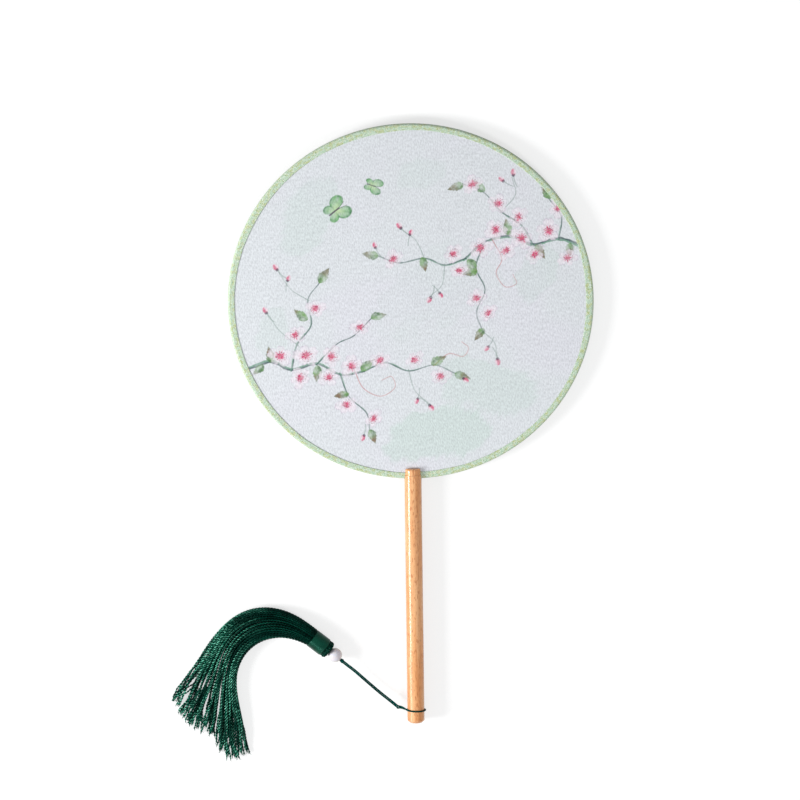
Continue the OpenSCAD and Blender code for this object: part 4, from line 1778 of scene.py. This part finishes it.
    def bud(self, motif: Motif) -> None:
        """A closed bud: an egg of deep pink with a pale side, on a dark calyx and a thin stalk.

        Args:
            motif: Place of its base, its length, and the direction in which it points.
        """
        pal = self.palette
        chosen, u, v = self.local(motif, 2.4)
        stalk = ease((0.14 - np.abs(v + 0.16 * (u + 0.4) ** 2)) / 0.1) * (u < 0) * (u > -2.0)
        self.lay(chosen, 0.55 * stalk, pal.twig)
        thin = self.thinned(chosen, 1.3, motif.x)
        egg = np.hypot((u - 0.56) / 0.56, v / (0.47 - 0.1 * u))
        cover = ease((1.1 - egg) / 0.3)
        self.lay(chosen, (0.5 + 0.45 * thin) * cover, pal.bud)
        self.lay(chosen, 0.85 * cover * ease((0.06 - v) / 0.3) * ease((u - 0.1) / 0.3), pal.petal)
        cup = np.hypot((u - 0.04) / 0.26, (v - 0.05) / 0.3)
        self.lay(chosen, (0.5 + 0.4 * thin) * ease((1.1 - cup) / 0.3), pal.calyx)

    def leaf(self, motif: Motif) -> None:
        """A bent leaf in wet paint: green at its stalk, brown towards its tip, with dark veins.

        Its half width at a share s of the length is 0.28 times the sine of pi times s to 0.8,
        drawn in to a point, and its edge is notched where the side veins end.

        Args:
            motif: Place of its stalk, its length, direction and width factor.
        """
        pal = self.palette
        chosen, u, v = self.local(motif, 1.3)
        seed = motif.x + motif.y * 2.3
        own = 0.5 + 0.5 * math.sin(seed)
        v = v + (0.35 * own - 0.05) * u * u
        s = np.clip(u, 0, 1)
        vein = np.sin((u * 9 - np.abs(v) * 14) * 2.4 + seed)
        half = (0.28 + 0.05 * own) * np.sin(np.pi * s**0.8) * (1 - 0.35 * s) * (1 + 0.1 * vein)
        cover = ease((half - np.abs(v)) / 0.07 + 0.5) * (u > 0) * (u < 1)
        thin = self.thinned(chosen, 2.4, seed)
        self.lay(chosen, cover * np.clip(0.4 + 0.6 * thin - 0.25 * s, 0, 0.95), pal.leaf)
        lower = 0.8 * cover * ease((v + 0.02) / 0.1) * self.thinned(chosen, 1.6, seed + 3)
        self.lay(chosen, lower, pal.leaf_dark)
        self.lay(chosen, 0.4 * cover * ease(vein - 0.4) * thin, pal.branch_light)
        self.lay(chosen, cover * (0.25 + 0.6 * thin) * ease((s - 0.2 - 0.4 * own) / 0.4), pal.leaf_tip)
        edge = bell(half - np.abs(v), 0.03) + bell(v, 0.025)
        self.lay(chosen, 0.5 * cover * edge * self.thinned(chosen, 1.2, seed + 6), pal.leaf_dark)

    def butterfly(self, motif: Motif) -> None:
        """Two large and two small green wings with dark borders, a body and two feelers.

        A wing's outline is its length times the root of the cosine of the angle from its middle,
        stretched by a factor. The farther of the two wings' outlines holds at each angle.

        Args:
            motif: Place of its body, its wings' length, and the direction of its head.
        """
        pal = self.palette
        chosen, u, v = self.local(motif, 1.35)
        w = np.abs(v)
        reach, lie = np.hypot(u, w), np.degrees(np.arctan2(w, u))
        lobes = [
            length * np.sqrt(np.clip(np.cos(np.radians((lie - middle) * narrow)), 0.0001, 1))
            for middle, length, narrow in ((52.0, 1.0, 1.75), (128.0, 0.74, 1.9))
        ]
        outline = np.maximum(*lobes)
        far = reach / outline
        inside = outline - reach
        cover = ease(inside / 0.06 + 0.5) * (reach > 0.03)
        thin = self.thinned(chosen, 2.2, motif.x)
        self.lay(chosen, (0.5 + 0.4 * thin) * cover, pal.wing)
        self.lay(chosen, 0.8 * cover * ease((0.75 - far) / 0.5) * (0.4 + 0.6 * thin), pal.wing_pale)
        border = ease((far - 0.74) / 0.2) * self.thinned(chosen, 1.5, motif.y)
        rib = ease(np.cos(np.radians(lie * 15)) - 0.6) * ease((far - 0.25) / 0.3)
        fold = bell(lie - 92, 5)
        self.lay(chosen, cover * np.clip(0.85 * border + 0.4 * rib + 0.4 * fold, 0, 0.9), pal.wing_dark)
        body = ease((0.055 - w) / 0.03 + 0.4) * (u > -0.42) * (u < 0.3)
        self.lay(chosen, 0.85 * body, pal.calyx)
        feeler = np.abs(w - 0.04 - 0.32 * (u - 0.3))
        self.lay(chosen, 0.6 * ease((0.035 - feeler) / 0.03) * (u > 0.3) * (u < 0.7), pal.calyx)


@dataclass(frozen=True)
class SprayDesign:
    """Layout of the painting: two flowering branches with tendrils, leaves and butterflies."""

    palette: Palette = Palette()
    last_cell: float = 1.1
    least_bend: float = 0.026
    painted_radius: float = 122.0
    margin: float = 0.9
    washes: Rows = (
        (-70, 62, 30, 60, 0.5, 0.42),
        (52, -62, 40, -20, 0.5, 0.5),
        (88, 22, 22, 70, 0.6, 0.38),
        (16, -96, 40, 9, 0.48, 0.75),
        (8, 92, 22, 20, 0.5, 0.3),
        (-96, -22, 20, 80, 0.6, 0.34),
        (20, 10, 46, 30, 0.6, 0.16),
    )
    stems: tuple[Stem, ...] = (
        Stem(((121, 38), (104, 44), (86, 40), (70, 46), (52, 42), (38, 30)), 2.6, 1.3),
        Stem(((38, 30), (24, 26), (10, 31), (-8, 28), (-22, 33)), 1.2, 0.6),
        Stem(((86, 40), (78, 54), (64, 64), (52, 78), (38, 84)), 1.3, 0.5),
        Stem(((52, 42), (46, 24), (52, 8), (46, -8), (50, -22)), 0.9, 0.5),
        Stem(((104, 44), (106, 60), (98, 72)), 0.9, 0.5),
        Stem(((-112, -46), (-98, -42), (-84, -48), (-66, -44), (-50, -52), (-34, -50)), 2.5, 1.3),
        Stem(((-34, -50), (-18, -44), (-2, -50), (16, -46), (30, -52)), 1.2, 0.5),
        Stem(((-84, -48), (-80, -30), (-70, -16), (-72, 2), (-64, 14)), 1.3, 0.5),
        Stem(((-50, -52), (-44, -68), (-32, -80), (-30, -92)), 1.0, 0.5),
        Stem(((-66, -44), (-52, -30), (-40, -24), (-28, -12)), 0.9, 0.45),
        Stem(((64, 64), (74, 76), (72, 88)), 0.5, 0.4, Brush.TWIG),
        Stem(((10, 31), (4, 44), (-6, 52)), 0.5, 0.35, Brush.TWIG),
        Stem(((24, 26), (22, 12), (14, 4)), 0.5, 0.35, Brush.TWIG),
        Stem(((-72, 2), (-84, 10), (-92, 22)), 0.5, 0.35, Brush.TWIG),
        Stem(((-2, -50), (2, -64), (12, -74)), 0.5, 0.35, Brush.TWIG),
        Stem(((-80, -30), (-92, -20), (-100, -8)), 0.5, 0.35, Brush.TWIG),
        Stem(((50, -22), (58, -30), (60, -40)), 0.45, 0.3, Brush.TWIG),
        Stem(
            ((-40, -49), (-34, -62), (-22, -68), (-12, -62), (-14, -54), (-20, -56)),
            0.5,
            0.3,
            Brush.TENDRIL,
        ),
        Stem(((58, 43), (64, 30), (60, 20), (66, 10), (74, 12), (72, 18)), 0.5, 0.3, Brush.TENDRIL),
        Stem(((16, -46), (26, -38), (36, -40), (40, -34), (36, -30)), 0.45, 0.3, Brush.TENDRIL),
    )
    leaves: Rows = (
        (70, 47, 12, 118), (88, 40, 12, -60), (40, 30, 13, -48), (53, 79, 11, 150), (47, 22, 11, 200),
        (99, 73, 12, 128), (8, 32, 11, -70), (-22, 33, 12, 172), (51, -20, 11, -130),
        (112, 41, 11, -96), (38, 84, 12, 196), (-98, -43, 12, 98), (-66, -45, 12, -86),
        (-35, -50, 12, 58), (-72, -12, 12, 158), (-64, 14, 13, 60), (-44, -66, 11, -172),
        (14, -46, 12, 44), (30, -52, 12, -24), (-30, -92, 11, -64), (-28, -12, 11, 30),
        (-104, -44, 10, -120),
    )
    buds: Rows = (
        (73, 90, 4.4, 96), (66, 86, 4.0, 140), (-6, 53, 4.4, 130), (0, 48, 3.8, 70), (14, 3, 4.2, -120),
        (20, 6, 3.8, -60), (-93, 24, 4.4, 124), (-86, 16, 3.8, 70), (12, -75, 4.4, -50),
        (4, -70, 3.8, -110), (-101, -7, 4.2, 118), (60, -42, 4.4, -80), (54, -33, 3.8, -130),
        (36, -56, 4.0, -30), (-34, -96, 4.0, -110), (-24, 39, 4.0, 110), (100, 82, 4.0, 80),
    )
    blossoms: Rows = (
        (97, 50, 9.0, 20, 0.9), (87, 33, 8.3, 50, 0.82), (78, 45, 8.8, 5, 0.95), (67, 36, 8.1, 33, 0.8),
        (60, 51, 8.5, 60, 0.9), (49, 38, 8.8, 12, 0.92), (76, 60, 8.1, 42, 0.8), (62, 70, 7.6, 10, 0.9),
        (44, 84, 7.8, 25, 0.85), (30, 34, 7.6, 48, 0.88), (34, 22, 7.3, 15, 0.75),
        (-12, 31, 7.6, 30, 0.85), (46, 2, 7.6, 8, 0.85), (54, -9, 7.1, 40, 0.8),
        (104, 66, 7.6, 55, 0.85), (110, 30, 7.6, 0, 0.8), (-92, -38, 8.8, 15, 0.9),
        (-78, -54, 8.3, 48, 0.85), (-74, -38, 9.0, 30, 0.95), (-58, -54, 8.1, 4, 0.8),
        (-56, -39, 8.3, 62, 0.9), (-42, -46, 8.5, 22, 0.88), (-81, -23, 7.8, 38, 0.85),
        (-67, -4, 7.6, 12, 0.9), (-46, -74, 7.8, 35, 0.85), (-27, -84, 7.3, 56, 0.8),
        (-22, -42, 7.6, 18, 0.85), (2, -42, 7.3, 44, 0.8), (20, -54, 7.6, 10, 0.9),
        (-36, -18, 7.6, 25, 0.8),
    )
    butterflies: Rows = (
        (-52, 66, 13, 38, 0.8), (-26, 84, 9.5, -20, 0.7),
    )

    def motifs(self) -> list[Motif]:
        """All painted things, in the order in which they are laid."""
        rows = zip(Kind, (self.leaves, self.buds, self.blossoms, self.butterflies))
        return [Motif(kind, *row) for kind, group in rows for row in group]

    def paint(self, x: Array, y: Array) -> Array:
        """Colours of points on the disc.

        Args:
            x: Distance to the right of the middle, in millimetres.
            y: Distance above it.

        Returns:
            Colours, one a row.
        """
        picture = Painting(x, y, self.palette)
        mist = LatticeNoise(Seed.MIST).layered(x / 40 + 9, y / 40, 3)
        everywhere = np.arange(len(x))
        picture.lay(everywhere, 0.35 * ease(mist / 0.7 + 0.3), self.palette.mist)
        for wash in self.washes:
            picture.wash(*wash)
        for stem in self.stems:
            picture.stroke(stem)
        draw = {
            Kind.LEAF: picture.leaf,
            Kind.BUD: picture.bud,
            Kind.BLOSSOM: picture.blossom,
            Kind.BUTTERFLY: picture.butterfly,
        }
        for motif in self.motifs():
            draw[motif.kind](motif)
        return picture.rgb

    def detail(self, x: Array, y: Array, cell: float) -> Array:
        """Whether points lie on something painted finely, within a cell's width.

        Args:
            x: Places across.
            y: Places along.
            cell: Distance from a cell's middle to its corner.

        Returns:
            True where the mesh has to be finer.
        """
        found = np.zeros(x.shape, bool)
        wide = {Kind.BLOSSOM: 1.12, Kind.BUD: 1.9, Kind.LEAF: 1.05, Kind.BUTTERFLY: 1.15}
        for motif in self.motifs():
            found |= np.hypot(x - motif.x, y - motif.y) < wide[motif.kind] * motif.size + cell
        for stem in self.stems:
            line = stem.line()[::2]
            low, high = line.min(0) - 4, line.max(0) + 4
            box = np.nonzero((x > low[0]) & (x < high[0]) & (y > low[1]) & (y < high[1]))
            apart = np.hypot(x[box][:, None] - line[:, 0], y[box][:, None] - line[:, 1]).min(axis=1)
            found[box] |= apart < stem.first / 2 + self.margin + cell
        found &= np.hypot(x, y) < self.painted_radius
        if cell < self.last_cell:
            found[found] = self.bends(x[found], y[found], cell / CORNER) > self.least_bend
        return found

    def bends(self, x: Array, y: Array, reach: float) -> Array:
        """How far the painted colour departs from an even run across cells.

        It is painted at nine points of each cell. A point between two others is held against
        their mean, along both sides of the cell, and the largest difference counts.

        Args:
            x: Middles of the cells across the fan, in millimetres from the disc's middle.
            y: The same along it.
            reach: Half a cell's side.

        Returns:
            The largest difference in each cell.
        """
        step = np.array([-reach, 0, reach])
        px = np.broadcast_to(x + step[:, None, None], (3, 3, len(x)))
        py = np.broadcast_to(y + step[None, :, None], (3, 3, len(x)))
        painted = self.paint(px.ravel(), py.ravel()).reshape(3, 3, -1, 3)
        along = np.abs(painted[1] - (painted[0] + painted[2]) / 2).max(axis=(0, 2))
        across = np.abs(painted[:, 1] - (painted[:, 0] + painted[:, 2]) / 2).max(axis=(0, 2))
        return np.maximum(along, across)


@dataclass(frozen=True)
class DiscGrid:
    """Square grid of cells carried onto a disc, halved again and again where detail calls for it."""

    radius: float
    cells: int = 82
    levels: int = 3

    @property
    def finest(self) -> int:
        """Cells along a side of the finest grid."""
        return self.cells * 2**self.levels

    def onto_disc(self, a: Array, b: Array) -> tuple[Array, Array]:
        """Square to disc: the larger coordinate is the radius, the ratio of both the angle.

        Args:
            a: Places across the square, from -1 to 1.
            b: Places along it.

        Returns:
            Places across and along the unit disc.
        """
        first = np.abs(a) > np.abs(b)
        far = np.where(first, a, b)
        safe = np.where(far == 0, 1, far)
        angle = np.pi / 4 * np.where(first, b, a) / safe
        x = np.where(first, far * np.cos(angle), far * np.sin(angle))
        y = np.where(first, far * np.sin(angle), far * np.cos(angle))
        return x * self.radius, y * self.radius

    def place(self, keys: Array) -> tuple[Array, Array]:
        """Places on the disc of corners numbered on the finest grid.

        Args:
            keys: Numbers of corners.

        Returns:
            Their places across and along, in millimetres.
        """
        fine = self.finest
        i, j = np.divmod(keys, fine + 1)
        return self.onto_disc(2 * i / fine - 1, 2 * j / fine - 1)

    def halved(self, detail: Detail) -> list[Array]:
        """Which cells of each level are halved, so that neighbours differ by one level at most.

        Args:
            detail: Says whether places on the disc call for small cells.

        Returns:
            One square of truths for each level that can be halved.
        """
        marks = []
        for level in range(self.levels):
            n = self.cells * 2**level
            middle = (np.arange(n) + 0.5) / n * 2 - 1
            a, b = np.meshgrid(middle, middle, indexing="ij")
            x, y = self.onto_disc(a, b)
            marks.append(np.zeros((n, n), bool) if detail is None else detail(x, y, CORNER * self.radius / n))
        for level in range(self.levels - 2, -1, -1):
            finer = np.pad(marks[level + 1], 1)
            n = marks[level].shape[0]
            around = [finer[i : i + 2 * n, j : j + 2 * n] for i in range(3) for j in range(3)]
            wide = np.logical_or.reduce(around)
            marks[level] |= wide.reshape(n, 2, n, 2).any(axis=(1, 3))
        return marks

    def fans(self, first: Array, step: int, finer: Array) -> list[Array]:
        """Cells as triangles round their middles, with two on a side whose neighbour is halved.

        Args:
            first: Number of each cell's first corner on the finest grid.
            step: A cell's side in steps of that grid.
            finer: Whether the neighbour is halved, cells by four sides.

        Returns:
            Arrays of corner numbers, three a row.
        """
        fine = self.finest
        turn = [0, step * (fine + 1), step * (fine + 2), step]
        middle = first + step // 2 * (fine + 2)
        made = []
        for side in range(4):
            start, end = first + turn[side], first + turn[(side + 1) % 4]
            half_way = (start + end) // 2
            cut = finer[:, side]
            made.append(np.stack([start, end, middle], -1)[~cut])
            made.append(np.stack([start, half_way, middle], -1)[cut])
            made.append(np.stack([half_way, end, middle], -1)[cut])
        return made

    def faces(self, detail: Detail) -> tuple[list[Array], list[Array]]:
        """Cells as faces, and cells beside smaller ones as fans round their middles.

        Args:
            detail: Says whether places on the disc call for small cells.

        Returns:
            Quads and triangles, as lists of arrays of corner numbers on the finest grid.
        """
        marks = self.halved(detail)
        fine = self.finest
        quads, triangles = [], []
        there = np.ones((self.cells, self.cells), bool)
        for level in range(self.levels + 1):
            n = self.cells * 2**level
            split = marks[level] & there if level < self.levels else np.zeros((n, n), bool)
            leaf = there & ~split
            edge = np.pad(split, 1)
            finer = np.stack([edge[1:-1, :-2], edge[2:, 1:-1], edge[1:-1, 2:], edge[:-2, 1:-1]], -1)
            step = fine // n
            i, j = np.nonzero(leaf & ~finer.any(axis=2))
            key = i * step * (fine + 1) + j * step
            quads.append(np.stack([key, key + step * (fine + 1), key + step * (fine + 2), key + step], -1))
            i, j = np.nonzero(leaf & finer.any(axis=2))
            if len(i):
                triangles += self.fans(i * step * (fine + 1) + j * step, step, finer[i, j])
            there = np.repeat(np.repeat(split, 2, axis=0), 2, axis=1)
        return quads, triangles


@dataclass(frozen=True)
class SilkLeaf:
    """One leaf of stretched silk: a thin closed sheet, painted on its outer side."""

    plan: FanPlan
    face: Face
    design: SprayDesign = SprayDesign()
    radius: float = 126.5
    near_z: float = 1.15
    far_z: float = 1.4
    still_radius: float = 122.0
    wave_height: float = 0.16
    show_through: float = 0.22

    def waves(self, x: Array, y: Array) -> Array:
        """Slight unevenness of the stretched cloth, gone at its edge."""
        free = ease((self.still_radius - np.hypot(x, y)) / 30)
        return self.wave_height * free * LatticeNoise(Seed.STRETCHED_SILK).layered(x / 46 + 8, y / 38, 2)

    def colours(self, x: Array, y: Array) -> Array:
        """Painted in front. At the back the painting shows faintly through plain silk.

        Args:
            x: Places across.
            y: Places along.

        Returns:
            One colour for each place.
        """
        if self.face is Face.FRONT:
            return self.design.paint(x, y)
        silk = np.array(self.design.palette.silk)
        return mix(silk, self.design.paint(x, y), self.show_through)

    def gathered(self) -> tuple[Surface, Array, Array]:
        """A fine outer grid, a plain inner one and the strip between their edges.

        Returns:
            The surface, and its corners' places across and along the disc.
        """
        front = self.face is Face.FRONT
        grid = DiscGrid(self.radius) if front else DiscGrid(self.radius, levels=1)
        quads, triangles = grid.faces(self.design.detail if front else None)
        inner, _ = grid.faces(None)
        outer_keys, outer = self.numbered([*quads, *triangles])
        inner_keys, back = self.numbered(inner)
        x, y = grid.place(np.concatenate([outer_keys, inner_keys]))
        sign = self.face.value
        height = np.concatenate([np.full(len(outer_keys), self.far_z), np.full(len(inner_keys), self.near_z)])
        z = self.plan.axis_z + sign * height + self.waves(x, y)
        surface = Surface()
        count = sum(len(q) for q in quads) * 4
        four, three = outer[:count].reshape(-1, 4), outer[count:].reshape(-1, 3)
        under = back.reshape(-1, 4)[:, ::-1] + len(outer_keys)
        if not front:
            four, three, under = four[:, ::-1], three[:, ::-1], under[:, ::-1]
        surface.add(np.stack([x, y + self.plan.disc_y, z], -1), four)
        for more in (three, under, self.rim(grid, outer_keys, inner_keys)[:, ::sign]):
            surface.join(more)
        return surface, x, y

    def build(self, cloth: Material, node: str) -> Piece:
        """The leaf with its painting as a colour at each corner.

        Args:
            cloth: Its finish.
            node: Solid that it stands for.

        Returns:
            The piece.
        """
        surface, x, y = self.gathered()
        piece = surface.piece(node + "_silk", cloth)
        dye = piece.data.attributes.new("dye", "FLOAT_COLOR", "POINT")
        rgba = np.concatenate([self.colours(x, y), np.ones((len(x), 1))], axis=1)
        dye.data.foreach_set("color", rgba.astype(np.float32).ravel())
        settled(piece, "fan", node, Slot.FRONT_SILK if self.face is Face.FRONT else Slot.BACK_SILK)
        return piece

    def numbered(self, faces: list[Array]) -> tuple[Array, Array]:
        """Corners in use, once each and in order, and all faces' corners as places among them."""
        return np.unique(np.concatenate([f.ravel() for f in faces]), return_inverse=True)

    def rim(self, grid: DiscGrid, outer_keys: Array, inner_keys: Array) -> Array:
        """Quads that join the edge of the outer grid to that of the inner one.

        Args:
            grid: Grid whose edge both follow.
            outer_keys: Corner numbers of the outer grid's points, in order.
            inner_keys: The same for the inner grid.

        Returns:
            Corner numbers in the piece, four a row.
        """
        fine = grid.finest
        k = np.arange(grid.cells) * 2**grid.levels
        zero, full = np.zeros_like(k), np.full_like(k, fine)
        i = np.concatenate([k, full, fine - k, zero])
        j = np.concatenate([zero, k, full, fine - k])
        keys = i * (fine + 1) + j
        top = np.searchsorted(outer_keys, keys)
        low = np.searchsorted(inner_keys, keys) + len(outer_keys)
        return np.stack([top, low, np.roll(low, -1), np.roll(top, -1)], -1)


@dataclass(frozen=True)
class RimBinding:
    """Brocade tape folded over the disc's edge, with a gap in its wall where the wire leaves."""

    plan: FanPlan
    inner_radius: float = 123.2
    fold: float = 1.6
    gap_rows: int = 2
    half_height: float = 1.8
    thickness: float = 0.35
    gap_angle: float = 2.44
    pucker_depth: float = 0.05
    edge_width: float = 2.4
    edge_wander: float = 0.55
    cloth_radius: float = 125.0
    lattice: int = 211
    steps: int = 900

    def contour(self, inset: float) -> Array:
        """Half a profile from the upper inner edge round to the lower one, as radius and height.

        Args:
            inset: Distance of the profile inside the tape's outer face.

        Returns:
            Radii and heights, one row for each step.
        """
        bend = np.radians(np.linspace(90, 0, 7))
        middle, radius = self.plan.disc_radius - self.fold, self.fold - inset
        height = self.half_height - self.fold + radius * np.sin(bend)
        corner = np.stack([middle + radius * np.cos(bend), height], -1)
        flat = np.linspace(self.inner_radius, middle, 9)[:-1]
        upper = np.concatenate([np.stack([flat, np.full(8, self.half_height - inset)], -1), corner])
        return np.concatenate([upper, upper[::-1] * [1, -1]])

    def puckered(self, profile: Array, outside: int, angle: Array) -> Array:
        """The profile swept round the disc, with small puckers and an edge that wanders.

        Args:
            profile: Radius and height of its points.
            outside: How many of them, from the first on, lie on the outer face.
            angle: Angle of each step, in radians.

        Returns:
            Points in millimetres, steps by profile by three.
        """
        along, radius = angle[:, None] * self.cloth_radius, profile[None, :, 0]
        pucker = LatticeNoise(Seed.PUCKERS, self.lattice).layered(along / 2.6, radius / 3.1, 2)
        broad = LatticeNoise(Seed.BROAD_PUCKERS, self.lattice).at(along / 9, radius * 0)
        wander = LatticeNoise(Seed.TAPE_EDGE, self.lattice).at(along / 46, radius * 0)
        flat = (np.arange(len(profile)) < outside) & (profile[:, 0] < self.plan.disc_radius - self.fold + 0.2)
        deep = self.pucker_depth
        out = np.sign(profile[:, 1]) * flat
        z = profile[None, :, 1] + out * (deep * pucker + deep * broad - deep)
        edge = ease((self.inner_radius + self.edge_width - profile[:, 0]) / self.edge_width)
        r = radius + edge * (0.12 * broad + self.edge_wander * wander)
        x, y = r * np.cos(angle)[:, None], r * np.sin(angle)[:, None] + self.plan.disc_y
        return np.stack([x, y, z + self.plan.axis_z], -1)

    def faces(self, profile: Array, wall: int, opened: Array) -> tuple[Array, Array]:
        """Faces all round but for the gap in the wall, with their coordinates.

        Args:
            profile: Radius and height of its points.
            wall: Outer contour point at the wall's upper end.
            opened: Whether the wall is left out, for each step.

        Returns:
            Corner numbers four a row, and distances along and across the tape at each corner.
        """
        size = len(profile)
        across = np.concatenate([[0], np.cumsum(np.linalg.norm(np.diff(profile, axis=0), axis=1))])
        across = np.append(across, across[-1] + self.thickness)
        i, j = (a.ravel() for a in np.meshgrid(np.arange(self.steps), np.arange(size), indexing="ij"))
        depth = np.minimum(np.abs(j - wall), np.abs(j - (size - 2 - wall)))
        keep = ~(opened[i] & (depth <= self.gap_rows))
        i, j = i[keep], j[keep]
        ni, nj = (i + 1) % self.steps, (j + 1) % size
        faces = np.stack([i * size + j, i * size + nj, ni * size + nj, ni * size + j], -1)
        u = np.stack([i, i, i + 1, i + 1], -1) * (2 * np.pi * self.cloth_radius / self.steps)
        v = np.stack([across[j], across[j + 1], across[j + 1], across[j]], -1)
        return faces[:, ::-1], np.stack([u, v], -1)[:, ::-1]

    def build(self, cloth: Material) -> Piece:
        """Sweeps the profile round the disc and opens the gap at the bottom.

        Outer contour points are numbered first and the inner ones come back after them, so the
        inner partner of point j is the last number less j.

        Args:
            cloth: Its finish.

        Returns:
            The piece.
        """
        outer, inner = self.contour(0.0), self.contour(self.thickness)
        profile = np.concatenate([outer, inner[::-1]])
        wall = len(outer) // 2 - 1
        angle = np.arange(self.steps) * 2 * np.pi / self.steps - np.pi / 2 + np.pi / self.steps
        opened = np.abs((np.degrees(angle) + 90 + 180 / self.steps + 180) % 360 - 180) < self.gap_angle
        surface = Surface()
        surface.add(self.puckered(profile, len(outer), angle), *self.faces(profile, wall, opened))
        surface.join(self.gap_caps(np.nonzero(opened)[0], wall, len(profile)))
        return settled(surface.piece("rim_binding_tape", cloth), "fan", "rim_binding", Slot.BROCADE)

    def gap_caps(self, opened: Array, wall: int, size: int) -> Array:
        """Cut edges of the gap: one at each end, and a strip along its top and its bottom.

        Args:
            opened: Steps whose wall is left out.
            wall: Outer contour point at the wall's upper end.
            size: Points of the profile.

        Returns:
            Corner numbers, four a row.
        """
        order = (opened + self.steps // 2) % self.steps
        run = opened[np.argsort(order)]
        start, end = run[0] * size, (run[-1] + 1) % self.steps * size
        top, low = wall - self.gap_rows, wall + 1 + self.gap_rows
        row, partner = np.arange(top, low), size - 1
        first = np.stack([start + row, start + partner - row, start + partner - row - 1, start + row + 1], -1)
        last = np.stack([end + row + 1, end + partner - row - 1, end + partner - row, end + row], -1)
        here, there = run * size, (run + 1) % self.steps * size
        upper = np.stack([here + top, there + top, there + partner - top, here + partner - top], -1)
        lower = np.stack([there + low, here + low, here + partner - low, there + partner - low], -1)
        return np.concatenate([first, last, upper, lower])


def dress_rigid(node: str, slot: Slot, finish: Material) -> Piece:
    """Gives a solid that is shown as it is its finish.

    Args:
        node: Name of the solid.
        slot: Its material slot in the record. Not used.
        finish: Material for the whole of it.

    Returns:
        The solid's object.
    """
    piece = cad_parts[node]
    piece.data.materials.clear()
    piece.data.materials.append(finish)
    LOG.info("%s: finished as %s", node, finish.name)
    return piece


def write_sizes() -> None:
    """Works out the boxes of the solids and of the dressed fan, in metres, as plain lists.
    """
    boxes = {"cad": CAD_BOX, "visual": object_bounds()}
    plain = {name: [[float(v) for v in corner] for corner in box] for name, box in boxes.items()}


def main() -> None:
    """Builds the studio, then the fan from its cord outwards, and reports each piece."""
    logging.basicConfig(level=logging.INFO, format="%(name)s %(message)s")
    Studio().build()
    plan = FanPlan()
    cord_thread = SilkyThread(
        "cord thread", deep=from_screen(0, 40, 37), light=from_screen(10, 84, 77)
    ).material()
    tassel_thread = SilkyThread("tassel thread").material()
    winding_thread = SilkyThread(
        "winding thread", deep=from_screen(0, 32, 22), light=from_screen(2, 64, 46), gloss=0.26, shine=0.38
    ).material()
    cord = DoubledCord(plan)
    cord.loop(cord_thread)
    strands = cord.strands(cord_thread)
    head = TasselHead(plan)
    on_cord = [
        cord.stopper(cord_thread),
        dress_rigid("pearl_bead", Slot.PEARL, PearlCoat().material()),
        head.crown(tassel_thread),
        head.bundle(tassel_thread),
        head.winding(winding_thread),
        *head.inner_cord(cord_thread),
    ]
    ThreadSkirt(plan).build(tassel_thread)
    SilkLeaf(plan, Face.FRONT).build(WovenSilk().material("painted silk"), "front_leaf")
    SilkLeaf(plan, Face.BACK).build(WovenSilk().material("plain silk"), "back_leaf")
    RimBinding(plan).build(Brocade().material())
    dress_rigid("handle", Slot.WOOD, LacqueredWood().material())
    dress_rigid("hoop_wire", Slot.STEEL, DrawnSteel().material())
    write_sizes()


if __name__ == "__main__":
    main()
